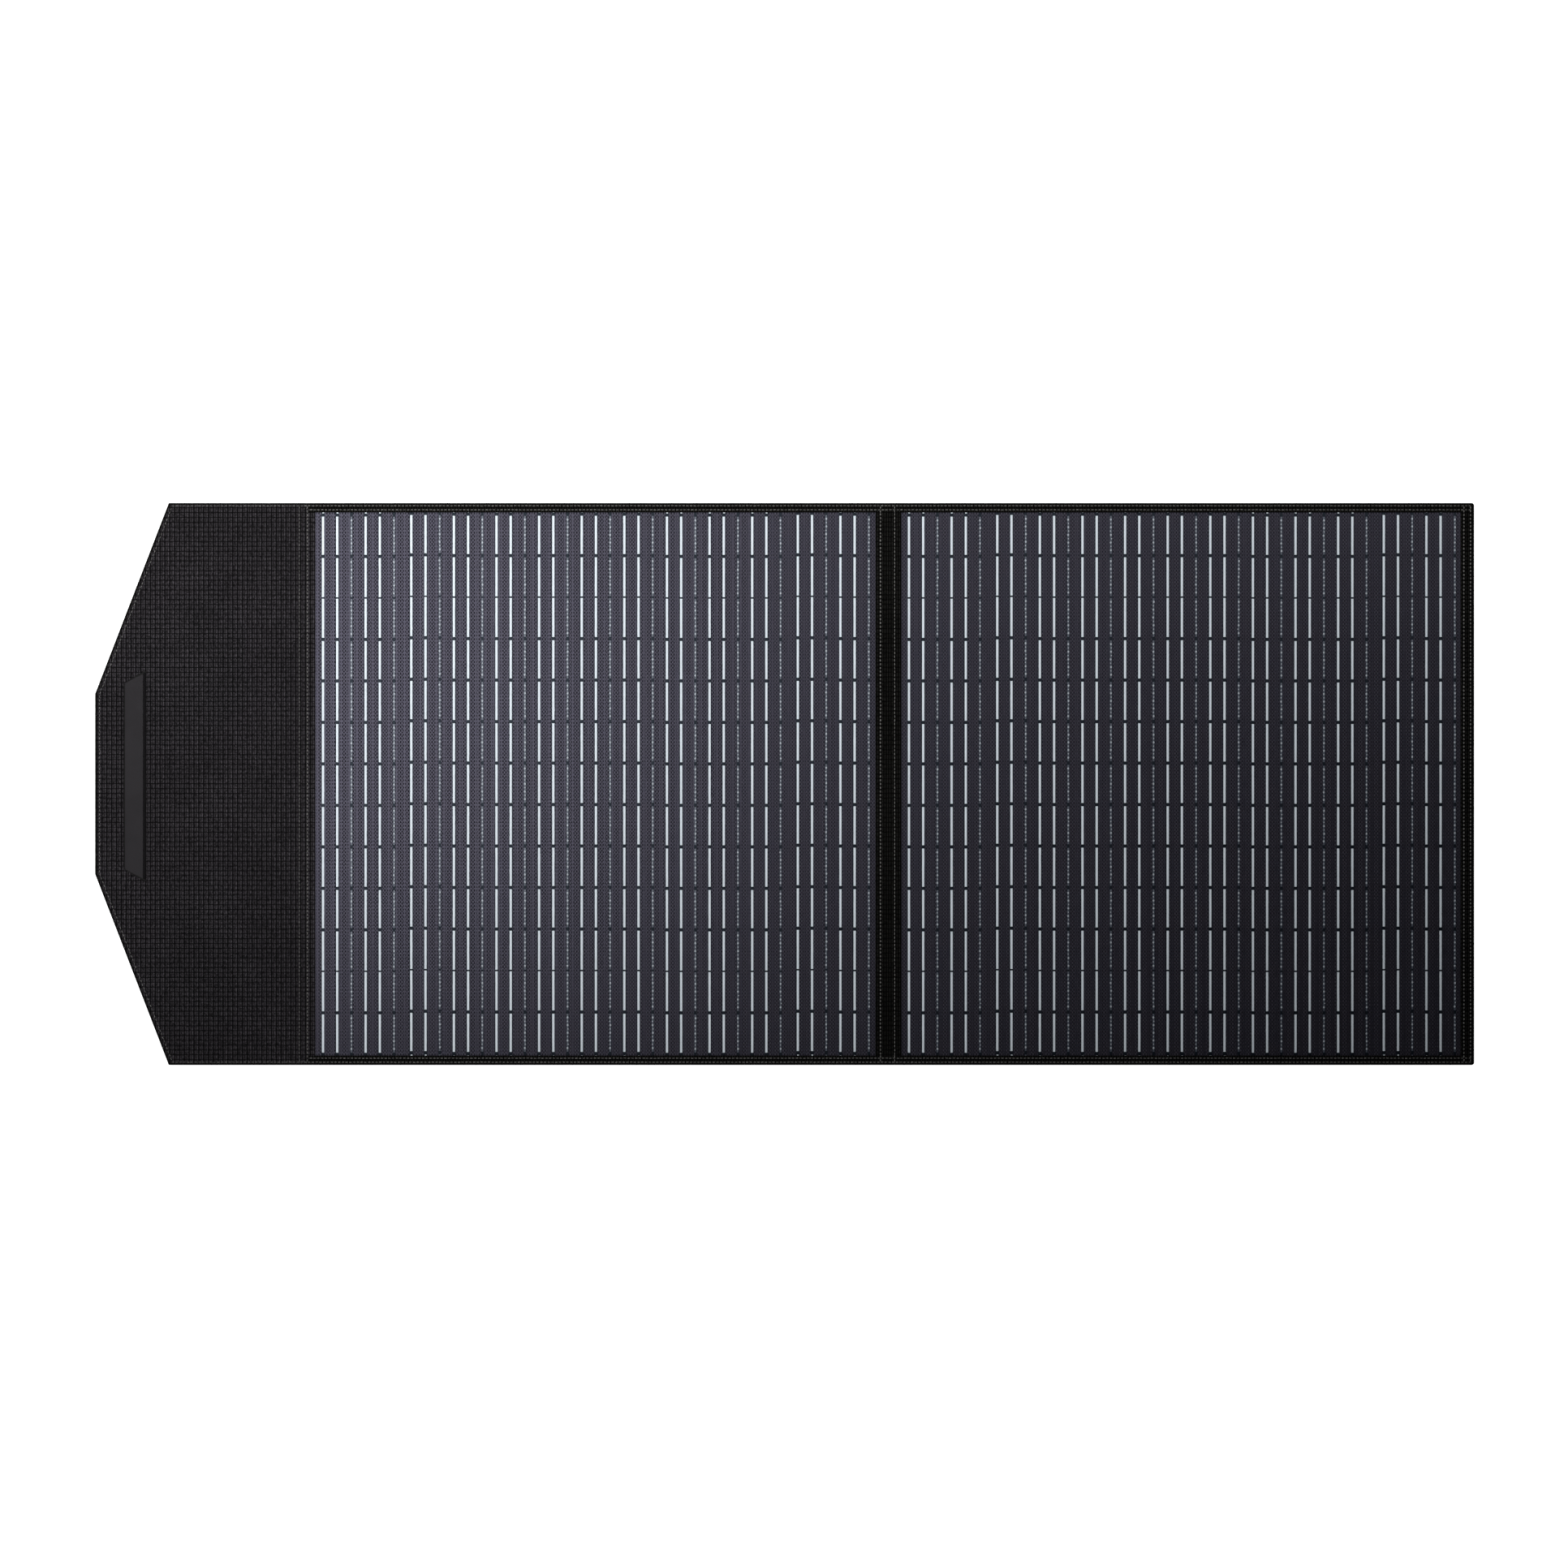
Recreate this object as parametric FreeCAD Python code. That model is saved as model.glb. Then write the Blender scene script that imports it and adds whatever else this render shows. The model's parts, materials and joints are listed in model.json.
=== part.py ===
import FreeCAD, Part
import math
import os

# A folding solar blanket lying open on its back, cells up. Millimetres.
# X runs along the blanket from the closing flap to the free end, Y across it, Z up.
# The origin is on the surface it lies on, under the middle of its box.
V = FreeCAD.Vector
UP = V(0, 0, 1)

# Outline
HALF_LENGTH = 637.0
HALF_WIDTH = 259.5
TOP = 14.0
FABRIC = 0.7
FOLD_GAP = 0.1
HEM_WIDTH = 8.2

# Fold lines, and the window of cells on each panel
CENTRE_FOLD = 95.5
FLAP_FOLD = -448.4
SPINE_WIDTH = 7.1
FLAP_ROOT = FLAP_FOLD - SPINE_WIDTH
LEFT_WINDOW = (-433.6, 83.9)
RIGHT_WINDOW = (107.9, 624.7)
WINDOW_LAP = 1.2

# Layers of a panel, from the front down
FILM = 0.3
RIBBON = 0.15
CELL = 0.2
BACK_SHEET = 0.4
BOARD = 2.0
FILM_TOP = TOP - FABRIC
RIBBON_TOP = FILM_TOP - FILM
CELL_TOP = RIBBON_TOP - RIBBON
SHEET_TOP = CELL_TOP - CELL
BOARD_TOP = SHEET_TOP - BACK_SHEET
COVER_TOP = BOARD_TOP - BOARD
COVER_BOTTOM = COVER_TOP - FABRIC
BOARD_MARGIN = 1.7

# Cells and the ribbons that join them: three blocks of columns, thirteen rows
ROWS = 13
ROW_PITCH = 38.34
ROWS_MIDDLE = -0.6
CELL_GAP = 0.8
BAR_PITCH = 13.125
BLOCK_STEP = 15.95
BLOCKS = (6, 27, 6)
CELLS_IN_BLOCK = (1, 3, 1)
FIRST_BAR = 6.7
WIDE_RIBBON = 2.4
NARROW_RIBBON = 1.0
RIBBON_LENGTH = 501.0

# Kickstands on the back: a board in two skins, hinged at its upper end
STAND_WIDTH = 130.0
STAND_THICK = 5.0
HINGE_Y = 170.0
HINGE_Z = 7.3
HINGE_CLEAR = 0.3
HINGE_TAPE = 26.0
HINGE_PAD = 20.0
HINGE_PAD_DROP = 0.2
TIP_Y = -172.0
FOOT = 8.0
FOOT_CORNER = 7.5
LEFT_STAND_X = (FLAP_FOLD + CENTRE_FOLD) / 2
RIGHT_STAND_X = (CENTRE_FOLD + HALF_LENGTH) / 2

# Limit strap, in two halves that lie along the stand when it is shut
STRAP_Y = -80.0
STRAP_WIDTH = 25.0
STRAP_THICK = 1.1
STRAP_HALF = 107.0
STRAP_PATCH = 20.0
UPPER_STRAP_Z = 8.95
LOWER_STRAP_Z = 5.65

# Press stud that holds the stand shut
SNAP_Y = -148.0
SNAP_R = 6.0
SNAP_POST_R = 3.0
SNAP_HOLE_R = 3.25
SNAP_SOCKET_TOP = 7.5
SNAP_POST_BOTTOM = 5.6
SNAP_BASE_BOTTOM = 8.2

# Magnets in the two free edges
MAGNET_R = 4.0
MAGNET_X = 630.5
MAGNET_Y = (-180.0, -60.0, 60.0, 180.0)
MAGNET_BOTTOM = 11.0
MAGNET_TOP = 13.0

# Flat leads inside the layers
LEAD_Y = -8.0
LEAD_WIDTH = 12.0
LEAD_THICK = 0.7
LEAD_BOTTOM = COVER_TOP + 0.1
LEAD_CHANNEL = 1.0
LEAD_CLEAR = 0.5
LEAD_END_CLEAR = 0.3
JUMPER_RUN = 46.0
FLAP_LEAD_BOTTOM = 12.3

# Flap: two skins on a core, narrowing to the free end
FLAP_TAPER_X = -569.0
FLAP_END_HALF = 83.25
FLAP_CORE = 1.2
FLAP_CORE_TOP = TOP - FABRIC
FLAP_SKIN_TOP = FLAP_CORE_TOP - FLAP_CORE
FLAP_BACK = FLAP_SKIN_TOP - FABRIC
CORE_INSET = 1.0

# Slot in the flap, with the carry handle behind it
SLOT_OUTER_X = -609.5
SLOT_INNER_X = -590.1
SLOT_Y = 7.2
SLOT_LONG = 192.0
SLOT_SHORT = 172.0
HANDLE_GAP = 2.6
HANDLE_FACE = TOP - 1.0
HANDLE_BOTTOM = 9.6
HANDLE_OUTER_X = -616.0
HANDLE_INNER_X = -586.0
HANDLE_CORNER = 5.0
FACE_CLEAR = 0.2
HANDLE_HALF = 118.0
PLATE_LENGTH = 17.0
PLATE_THICK = 1.0
PLATE_MARGIN = 1.0
PLATE_CORNER = 3.0
RIVET_R = 2.0
RIVET_HOLE_R = 2.05
RIVET_HEAD_R = 3.4
RIVET_HEAD = 0.8
RIVET_SPREAD = 7.0

# Zipped pocket on the back of the flap
POCKET_X = (-580.0, -470.0)
POCKET_HALF = 150.0
POCKET_FACE = 0.8
POCKET_WALL = 1.0
POCKET_CORNER = 8.0
ZIP_Z = 6.0
ZIP_SLIT = 5.0
ZIP_HALF = 130.0
TAPE_WIDTH = 3.0
TAPE_THICK = 0.6
COIL_WIDTH = 2.0
COIL_THICK = 1.6
STOP_LENGTH = 3.0
TAPE_SPARE = 2.0
SLIDER_Y = -121.0
SLIDER_LENGTH = 9.0
SLIDER_HALF = 2.8
SLIDER_OUT = 3.2
SLIDER_PLATE = 1.0
SLIDER_CLEAR = 0.3
PULL_OUT = 4.8
PULL_PIN_R = 0.6
PULL_EYE_HOLE_R = 0.8
PULL_EYE_R = 1.5
PULL_LENGTH = 24.0
PULL_HALF = 1.9
EAR_THICK = 0.7
EAR_HALF = 1.5
EAR_OUT = 1.0
PULL_THICK = 1.2

# Junction box in the pocket
BOX_X = (-562.0, -500.0)
BOX_HALF = 47.0
BOX_WALL = 1.6
BOX_TOP = FLAP_BACK - 0.1
BOX_ROOF = 1.0
LID_TOP = 2.9
LID_BOTTOM = 1.6
BOX_CORNER = 3.0
SCREW_R = 1.2
SCREW_HOLE_R = 1.3
SCREW_HEAD_R = 2.2
SCREW_HEAD = 0.7
SCREW_INSET = 5.0
SCREW_DEPTH = 4.0
SCREW_HEAD_CLEAR = 0.1
BOSS_R = 2.8
PORT_Z = 6.6
PORT_OUT = 0.4
DC_Y = -20.0
DC_SIZE = 7.2
DC_LENGTH = 12.0
DC_BORE_R = 2.85
DC_PIN_R = 1.0
DC_DEPTH = 9.5
USB_Y = 20.0
USB_WIDTH = 13.1
USB_HEIGHT = 5.7
USB_SHELL = 0.3
USB_LENGTH = 14.0
USB_BACK = 2.0
TONGUE_THICK = 1.8
TONGUE_HALF = 5.5
TONGUE_SHORT = 1.5
TONGUE_DROP = 0.7
PCB_THICK = 1.6
PCB_CLEAR = 1.0
BOSS_CLEAR = 0.5
CHIPS = ((-546.0, -24.0, 9.0), (-532.0, 14.0, 11.0), (-548.0, 22.0, 7.0))
CHIP_HEIGHT = 1.6
ANCHOR_Y = (33.5, 37.5)
CAP_HINGE_Y = 32.5
CAP_OUT = 1.6
CAP_END_Y = 11.5
CAP_PLUG = 1.2
CAP_GAP = 0.6
CAP_LAP = 0.7
PLUG_HALF = 4.8
PLUG_TALL = 1.7


def box(x0, x1, y0, y1, z0, z1):
    return Part.makeBox(x1 - x0, y1 - y0, z1 - z0, V(x0, y0, z0))


def rounded(x0, x1, y0, y1, z0, z1, radius):
    """A plate with its upright corners rounded."""
    plate = box(x0, x1, y0, y1, z0, z1)
    upright = [e for e in plate.Edges if abs(e.Vertexes[0].Z - e.Vertexes[1].Z) > 1e-6]
    return plate.makeFillet(radius, upright)


def prism(points, z0, z1):
    wire = Part.makePolygon([V(x, y, z0) for x, y in points + points[:1]])
    return Part.Face(wire).extrude(V(0, 0, z1 - z0))


def disc(x, y, z0, z1, radius):
    return Part.makeCylinder(radius, z1 - z0, V(x, y, z0), UP)


def fuse(first, *others):
    return first.fuse(list(others)).removeSplitter()


def group(solids):
    return Part.makeCompound(solids)


def save(node, shape):
    shape.exportStep("parts/" + node + ".step")


class Panel:
    """One of the two cell panels, between its low and high X edges."""

    def __init__(self, side, low, high, window, stand_x, fold_is_high):
        self.side = side
        self.low = low
        self.high = high
        self.window = window
        self.laminate = (window[0] - WINDOW_LAP, window[1] + WINDOW_LAP)
        self.stand_x = stand_x
        self.fold_is_high = fold_is_high
        self.magnet_x = 2 * CENTRE_FOLD - MAGNET_X if fold_is_high else MAGNET_X

    def layer(self, bottom, top):
        """A full laminate layer, under the hem on all sides."""
        reach = HALF_WIDTH - BOARD_MARGIN
        return box(self.laminate[0], self.laminate[1], -reach, reach, bottom, top)

    def bars(self):
        """Each ribbon's X and its place in the block pattern."""
        x = self.window[0] + FIRST_BAR
        found = []
        for block in BLOCKS:
            for _ in range(block):
                found.append((x, len(found)))
                x += BAR_PITCH
            x += BLOCK_STEP - BAR_PITCH
        return found


def back_cover(p):
    reach = HALF_WIDTH - FABRIC
    inset = FABRIC + FOLD_GAP
    low = p.low + (inset if p.fold_is_high else FOLD_GAP)
    high = p.high - (FOLD_GAP if p.fold_is_high else FABRIC)
    return box(low, high, -reach, reach, COVER_BOTTOM, COVER_TOP)


def edge_hem(p):
    """Hem strips along both long edges and across the panel's outer end, with their side walls."""
    low = p.low + FOLD_GAP
    high = p.high - (FOLD_GAP if p.fold_is_high else 0)
    pieces = []
    for y0, y1 in ((-HALF_WIDTH, HEM_WIDTH - HALF_WIDTH), (HALF_WIDTH - HEM_WIDTH, HALF_WIDTH)):
        pieces.append(box(low, high, y0, y1, FILM_TOP, TOP))
    for y0 in (-HALF_WIDTH, HALF_WIDTH - FABRIC):
        pieces.append(box(low, high, y0, y0 + FABRIC, COVER_BOTTOM, FILM_TOP))
    if p.fold_is_high:
        border = (low, p.window[0])
        wall = (low, low + FABRIC)
    else:
        border = (p.window[1], high)
        wall = (high - FABRIC, high)
    pieces.append(box(border[0], border[1], -HALF_WIDTH, HALF_WIDTH, FILM_TOP, TOP))
    pieces.append(box(wall[0], wall[1], -HALF_WIDTH, HALF_WIDTH, COVER_BOTTOM, FILM_TOP))
    return fuse(*pieces)


def gusset(p):
    """This panel's half of the cloth strip between the two panels."""
    reach = HALF_WIDTH - HEM_WIDTH
    if p.fold_is_high:
        return box(p.window[1], p.high - FOLD_GAP, -reach, reach, FILM_TOP, TOP)
    return box(p.low + FOLD_GAP, p.window[0], -reach, reach, FILM_TOP, TOP)


def leads(p):
    """Flat lead across the centre fold, and on the left panel also the one into the flap."""
    y1 = LEAD_Y + LEAD_WIDTH
    top = LEAD_BOTTOM + LEAD_THICK
    if not p.fold_is_high:
        return [box(p.low + FOLD_GAP, p.low + JUMPER_RUN, LEAD_Y, y1, LEAD_BOTTOM, top)]
    first = box(p.high - JUMPER_RUN, p.high - FOLD_GAP, LEAD_Y, y1, LEAD_BOTTOM, top)
    inner = p.low + FABRIC + 2 * FOLD_GAP
    second = box(inner, p.low + JUMPER_RUN, LEAD_Y, y1, LEAD_BOTTOM, top)
    return [first, second]


def stiffener(p):
    """Panel board, with shallow channels in its back for the leads."""
    board = p.layer(COVER_TOP, BOARD_TOP)
    for lead in leads(p):
        b = lead.BoundBox
        x0, x1 = b.XMin - LEAD_CHANNEL, b.XMax + LEAD_CHANNEL
        y0, y1 = b.YMin - LEAD_CHANNEL, b.YMax + LEAD_CHANNEL
        board = board.cut(box(x0, x1, y0, y1, COVER_TOP - 1, b.ZMax + FOLD_GAP))
    return board


def solar_cells(p):
    """Thin cells in rows, a block of columns being one or three cells wide."""
    first_row = ROWS_MIDDLE - (ROWS - 1) * ROW_PITCH / 2
    bars = p.bars()
    cells = []
    start = 0
    for count, split in zip(BLOCKS, CELLS_IN_BLOCK):
        share = count // split
        for k in range(split):
            x0 = bars[start + k * share][0] - BAR_PITCH / 2 + CELL_GAP / 2
            x1 = bars[start + (k + 1) * share - 1][0] + BAR_PITCH / 2 - CELL_GAP / 2
            for row in range(ROWS):
                y = first_row + row * ROW_PITCH
                half = (ROW_PITCH - CELL_GAP) / 2
                cells.append(box(x0, x1, y - half, y + half, SHEET_TOP, CELL_TOP))
        start += count
    return group(cells)


def ribbons(p):
    """Tinned ribbons down the cells: two wide, then a narrow one, all the way across."""
    strips = []
    for x, k in p.bars():
        half = (NARROW_RIBBON if k % 3 == 2 else WIDE_RIBBON) / 2
        y0 = ROWS_MIDDLE - RIBBON_LENGTH / 2
        strips.append(box(x - half, x + half, y0, y0 + RIBBON_LENGTH, CELL_TOP, RIBBON_TOP))
    return group(strips)


def magnets(p):
    return group([disc(p.magnet_x, y, MAGNET_BOTTOM, MAGNET_TOP, MAGNET_R) for y in MAGNET_Y])


def back_webbing(p):
    """Hinge tape that the stand hangs from, and the patch that holds the limit strap."""
    half = STAND_WIDTH / 2
    y0 = HINGE_Y + HINGE_CLEAR
    tape = box(p.stand_x - half, p.stand_x + half, y0, y0 + HINGE_TAPE, HINGE_Z + FOLD_GAP, COVER_BOTTOM)
    x0 = p.stand_x - STRAP_WIDTH / 2
    y1 = STRAP_Y - HINGE_CLEAR
    low = UPPER_STRAP_Z - STRAP_THICK / 2
    patch = box(x0, x0 + STRAP_WIDTH, y1 - STRAP_PATCH, y1, low, COVER_BOTTOM)
    return group([tape, patch])


def snap_stud(p):
    base = disc(p.stand_x, SNAP_Y, SNAP_BASE_BOTTOM, COVER_BOTTOM, SNAP_R)
    return fuse(base, disc(p.stand_x, SNAP_Y, SNAP_POST_BOTTOM, SNAP_BASE_BOTTOM, SNAP_POST_R))


def snap_socket(p):
    ring = disc(p.stand_x, SNAP_Y, STAND_THICK, SNAP_SOCKET_TOP, SNAP_R)
    return ring.cut(disc(p.stand_x, SNAP_Y, STAND_THICK - 1, SNAP_SOCKET_TOP + 1, SNAP_HOLE_R))


def stand_plate(p, bottom, top):
    """A layer of the stand, as far as the rubber foot."""
    half = STAND_WIDTH / 2
    y0 = TIP_Y + FOOT
    return box(p.stand_x - half, p.stand_x + half, y0, HINGE_Y - HINGE_CLEAR, bottom, top)


def stand_inner_skin(p):
    """Skin towards the panel, with the padded hinge strip and the strap's patch sewn to it."""
    half = STAND_WIDTH / 2
    y1 = HINGE_Y - HINGE_CLEAR
    skin = stand_plate(p, STAND_THICK - FABRIC, STAND_THICK)
    x0, x1 = p.stand_x - half, p.stand_x + half
    pad = box(x0, x1, y1 - HINGE_PAD, y1, STAND_THICK, HINGE_Z - HINGE_PAD_DROP)
    sx = p.stand_x - STRAP_WIDTH / 2
    sy = STRAP_Y - HINGE_CLEAR
    top = LOWER_STRAP_Z + STRAP_THICK / 2
    patch = box(sx, sx + STRAP_WIDTH, sy - STRAP_PATCH, sy, STAND_THICK, top)
    return fuse(skin, pad, patch)


def stand_foot(p):
    """Rubber cap over the tip of the stand, its two outer corners rounded."""
    half = STAND_WIDTH / 2
    x0, x1 = p.stand_x - half, p.stand_x + half
    whole = rounded(x0, x1, TIP_Y, TIP_Y + 4 * FOOT, 0, STAND_THICK, FOOT_CORNER)
    return whole.common(box(x0, x1, TIP_Y, TIP_Y + FOOT, 0, STAND_THICK))


def strap_half(p, z):
    x0 = p.stand_x - STRAP_WIDTH / 2
    y0 = STRAP_Y + FOLD_GAP
    y1 = STRAP_Y + STRAP_HALF
    return box(x0, x0 + STRAP_WIDTH, y0, y1, z - STRAP_THICK / 2, z + STRAP_THICK / 2)


def build_panel(p):
    save(p.side + "_back_cover", back_cover(p))
    save(p.side + "_stiffener", stiffener(p))
    save(p.side + "_back_sheet", p.layer(BOARD_TOP, SHEET_TOP))
    save(p.side + "_solar_cells", solar_cells(p))
    save(p.side + "_ribbons", ribbons(p))
    save(p.side + "_front_film", p.layer(RIBBON_TOP, FILM_TOP))
    save(p.side + "_edge_hem", edge_hem(p))
    save(p.side + "_gusset", gusset(p))
    save(p.side + "_magnets", magnets(p))
    save(p.side + "_leads", group(leads(p)))
    save(p.side + "_back_webbing", back_webbing(p))
    save(p.side + "_snap_stud", snap_stud(p))


def build_stand(p):
    save(p.side + "_stand_outer_skin", stand_plate(p, 0, FABRIC))
    save(p.side + "_stand_board", stand_plate(p, FABRIC, STAND_THICK - FABRIC))
    save(p.side + "_stand_inner_skin", stand_inner_skin(p))
    save(p.side + "_stand_foot", stand_foot(p))
    save(p.side + "_snap_socket", snap_socket(p))
    save(p.side + "_strap_upper", strap_half(p, UPPER_STRAP_Z))
    save(p.side + "_strap_lower", strap_half(p, LOWER_STRAP_Z))


def build_spine():
    """Narrow strip between the flap's two fold lines, which becomes the edge of the closed pack."""
    x0 = FLAP_ROOT + FOLD_GAP
    x1 = FLAP_FOLD - FOLD_GAP
    front = box(x0, x1, -HALF_WIDTH, HALF_WIDTH, FLAP_CORE_TOP, TOP)
    back = box(x0, x1, -HALF_WIDTH, HALF_WIDTH, FLAP_BACK, FLAP_SKIN_TOP)
    save("spine_skins", group([front, back]))
    y1 = LEAD_Y + LEAD_WIDTH
    save("spine_lead", box(x0, x1, LEAD_Y, y1, FLAP_LEAD_BOTTOM, FLAP_LEAD_BOTTOM + LEAD_THICK))


def flap_outline(inset):
    """The flap's six corners, moved in by the same distance from every edge."""
    run = FLAP_TAPER_X + HALF_LENGTH
    rise = HALF_WIDTH - FLAP_END_HALF
    slant = math.hypot(run, rise)
    taper_x = FLAP_TAPER_X + inset * (slant - run) / rise
    end_half = FLAP_END_HALF - inset * (slant - rise) / run
    half = HALF_WIDTH - inset
    root = FLAP_ROOT - FOLD_GAP - inset
    end = inset - HALF_LENGTH
    right = [(root, -half), (root, half)]
    left = [(taper_x, half), (end, end_half), (end, -end_half), (taper_x, -half)]
    return right + left


def slot_outline(inset, inner_x):
    """The handle slot up to inner_x: it gets longer towards the panels."""
    slope = (SLOT_LONG - SLOT_SHORT) / 2 / (SLOT_INNER_X - SLOT_OUTER_X)
    outer_x = SLOT_OUTER_X + inset
    short_half = SLOT_SHORT / 2 - inset
    long_half = short_half + slope * (inner_x - SLOT_OUTER_X)
    return [
        (outer_x, SLOT_Y - short_half),
        (inner_x, SLOT_Y - long_half),
        (inner_x, SLOT_Y + long_half),
        (outer_x, SLOT_Y + short_half),
    ]


def rivet_places():
    middle = (HANDLE_OUTER_X + HANDLE_INNER_X) / 2
    end = HANDLE_HALF - PLATE_LENGTH / 2
    return [
        (middle + dx, SLOT_Y + side * end)
        for side in (-1, 1)
        for dx in (-RIVET_SPREAD, RIVET_SPREAD)
    ]


def rivet_holes(z0, z1):
    return group([disc(x, y, z0, z1, RIVET_HOLE_R) for x, y in rivet_places()])


def flap_layer(inset, z0, z1):
    slot = prism(slot_outline(0, SLOT_INNER_X), z0 - 1, z1 + 1)
    return prism(flap_outline(inset), z0, z1).cut(slot)


def flap_lead():
    """Flat lead from the spine through the flap, then down into the junction box."""
    y1 = LEAD_Y + LEAD_WIDTH
    x1 = FLAP_ROOT - FOLD_GAP
    turn = BOX_X[1] - 2 * BOX_WALL
    top = FLAP_LEAD_BOTTOM + LEAD_THICK
    run = box(turn - LEAD_THICK, x1, LEAD_Y, y1, FLAP_LEAD_BOTTOM, top)
    drop = box(turn - LEAD_THICK, turn, LEAD_Y, y1, BOX_TOP - BOX_ROOF - 0.5, top)
    return fuse(run, drop)


def lead_room(z0, z1):
    b = flap_lead().BoundBox
    x0, x1 = b.XMin - LEAD_END_CLEAR, b.XMax + LEAD_CHANNEL
    return box(x0, x1, b.YMin - LEAD_CLEAR, b.YMax + LEAD_CLEAR, z0, z1)


def lead_drop_hole(z0, z1):
    x0 = BOX_X[1] - 2 * BOX_WALL - LEAD_THICK - LEAD_END_CLEAR
    x1 = BOX_X[1] - 2 * BOX_WALL + LEAD_END_CLEAR
    y1 = LEAD_Y + LEAD_WIDTH
    return box(x0, x1, LEAD_Y - LEAD_CLEAR, y1 + LEAD_CLEAR, z0, z1)


def build_flap():
    save("flap_front_skin", flap_layer(0, FLAP_CORE_TOP, TOP))
    core = flap_layer(CORE_INSET, FLAP_SKIN_TOP, FLAP_CORE_TOP)
    core = core.cut(rivet_holes(FLAP_SKIN_TOP - 1, FLAP_CORE_TOP + 1))
    save("flap_core", core.cut(lead_room(FLAP_SKIN_TOP - 1, FLAP_CORE_TOP + 1)))
    back = flap_layer(0, FLAP_BACK, FLAP_SKIN_TOP)
    back = back.cut(rivet_holes(FLAP_BACK - 1, FLAP_SKIN_TOP + 1))
    save("flap_back_skin", back.cut(lead_drop_hole(FLAP_BACK - 1, FLAP_SKIN_TOP + 1)))
    save("flap_lead", flap_lead())


def build_handle():
    """Rubber strap behind the flap, with a raised face that shows in the slot."""
    y0 = SLOT_Y - HANDLE_HALF
    y1 = SLOT_Y + HANDLE_HALF
    strap = rounded(HANDLE_OUTER_X, HANDLE_INNER_X, y0, y1, HANDLE_BOTTOM, FLAP_BACK, HANDLE_CORNER)
    face = prism(slot_outline(FACE_CLEAR, SLOT_INNER_X - HANDLE_GAP), FLAP_BACK, HANDLE_FACE)
    handle = fuse(strap, face).cut(rivet_holes(HANDLE_BOTTOM - 1, FLAP_BACK + 1))
    save("carry_handle", handle)
    plates = []
    bottom = HANDLE_BOTTOM - PLATE_THICK
    for side in (-1, 1):
        middle = SLOT_Y + side * (HANDLE_HALF - PLATE_LENGTH / 2)
        half = PLATE_LENGTH / 2
        x0, x1 = HANDLE_OUTER_X + PLATE_MARGIN, HANDLE_INNER_X - PLATE_MARGIN
        plate = rounded(x0, x1, middle - half, middle + half, bottom, HANDLE_BOTTOM, PLATE_CORNER)
        plates.append(plate.cut(rivet_holes(bottom - 1, HANDLE_BOTTOM + 1)))
    save("handle_plates", group(plates))
    rivets = []
    for x, y in rivet_places():
        shank = disc(x, y, bottom, FLAP_CORE_TOP, RIVET_R)
        rivets.append(fuse(shank, disc(x, y, bottom - RIVET_HEAD, bottom, RIVET_HEAD_R)))
    save("handle_rivets", group(rivets))


def build_pocket():
    x0, x1 = POCKET_X
    y = POCKET_HALF
    save("pocket_face", rounded(x0, x1, -y, y, 0, POCKET_FACE, POCKET_CORNER))
    wall = rounded(x0, x1, -y, y, POCKET_FACE, FLAP_BACK, POCKET_CORNER)
    w = POCKET_WALL
    inner_corner = POCKET_CORNER - w
    hollow = rounded(x0 + w, x1 - w, w - y, y - w, 0, TOP, inner_corner)
    half = ZIP_SLIT / 2
    slit = box(x1 - 2 * w, x1 + w, -ZIP_HALF, ZIP_HALF, ZIP_Z - half, ZIP_Z + half)
    save("pocket_gusset", wall.cut(hollow).cut(slit))


def build_zip():
    """Coil zip along the pocket wall that faces the panels."""
    x = POCKET_X[1]
    reach = ZIP_HALF + STOP_LENGTH + TAPE_SPARE
    half = COIL_WIDTH / 2
    tapes = []
    for z0 in (ZIP_Z - half - TAPE_WIDTH, ZIP_Z + half):
        tapes.append(box(x, x + TAPE_THICK, -reach, reach, z0, z0 + TAPE_WIDTH))
    save("zip_tapes", group(tapes))
    coil_x0 = x - (COIL_THICK - TAPE_THICK) / 2
    coil = box(coil_x0, coil_x0 + COIL_THICK, -ZIP_HALF, ZIP_HALF, ZIP_Z - half, ZIP_Z + half)
    stops = []
    for y0 in (-ZIP_HALF - STOP_LENGTH, ZIP_HALF):
        stops.append(box(x, x + 2 * TAPE_THICK, y0, y0 + STOP_LENGTH, ZIP_Z - half, ZIP_Z + half))
    save("zip_coil", group([coil] + stops))


def pull_pin():
    """Where the pull's pin stands: X out from the pocket wall, Y on the slider."""
    return POCKET_X[1] + PULL_OUT, SLIDER_Y


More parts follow.
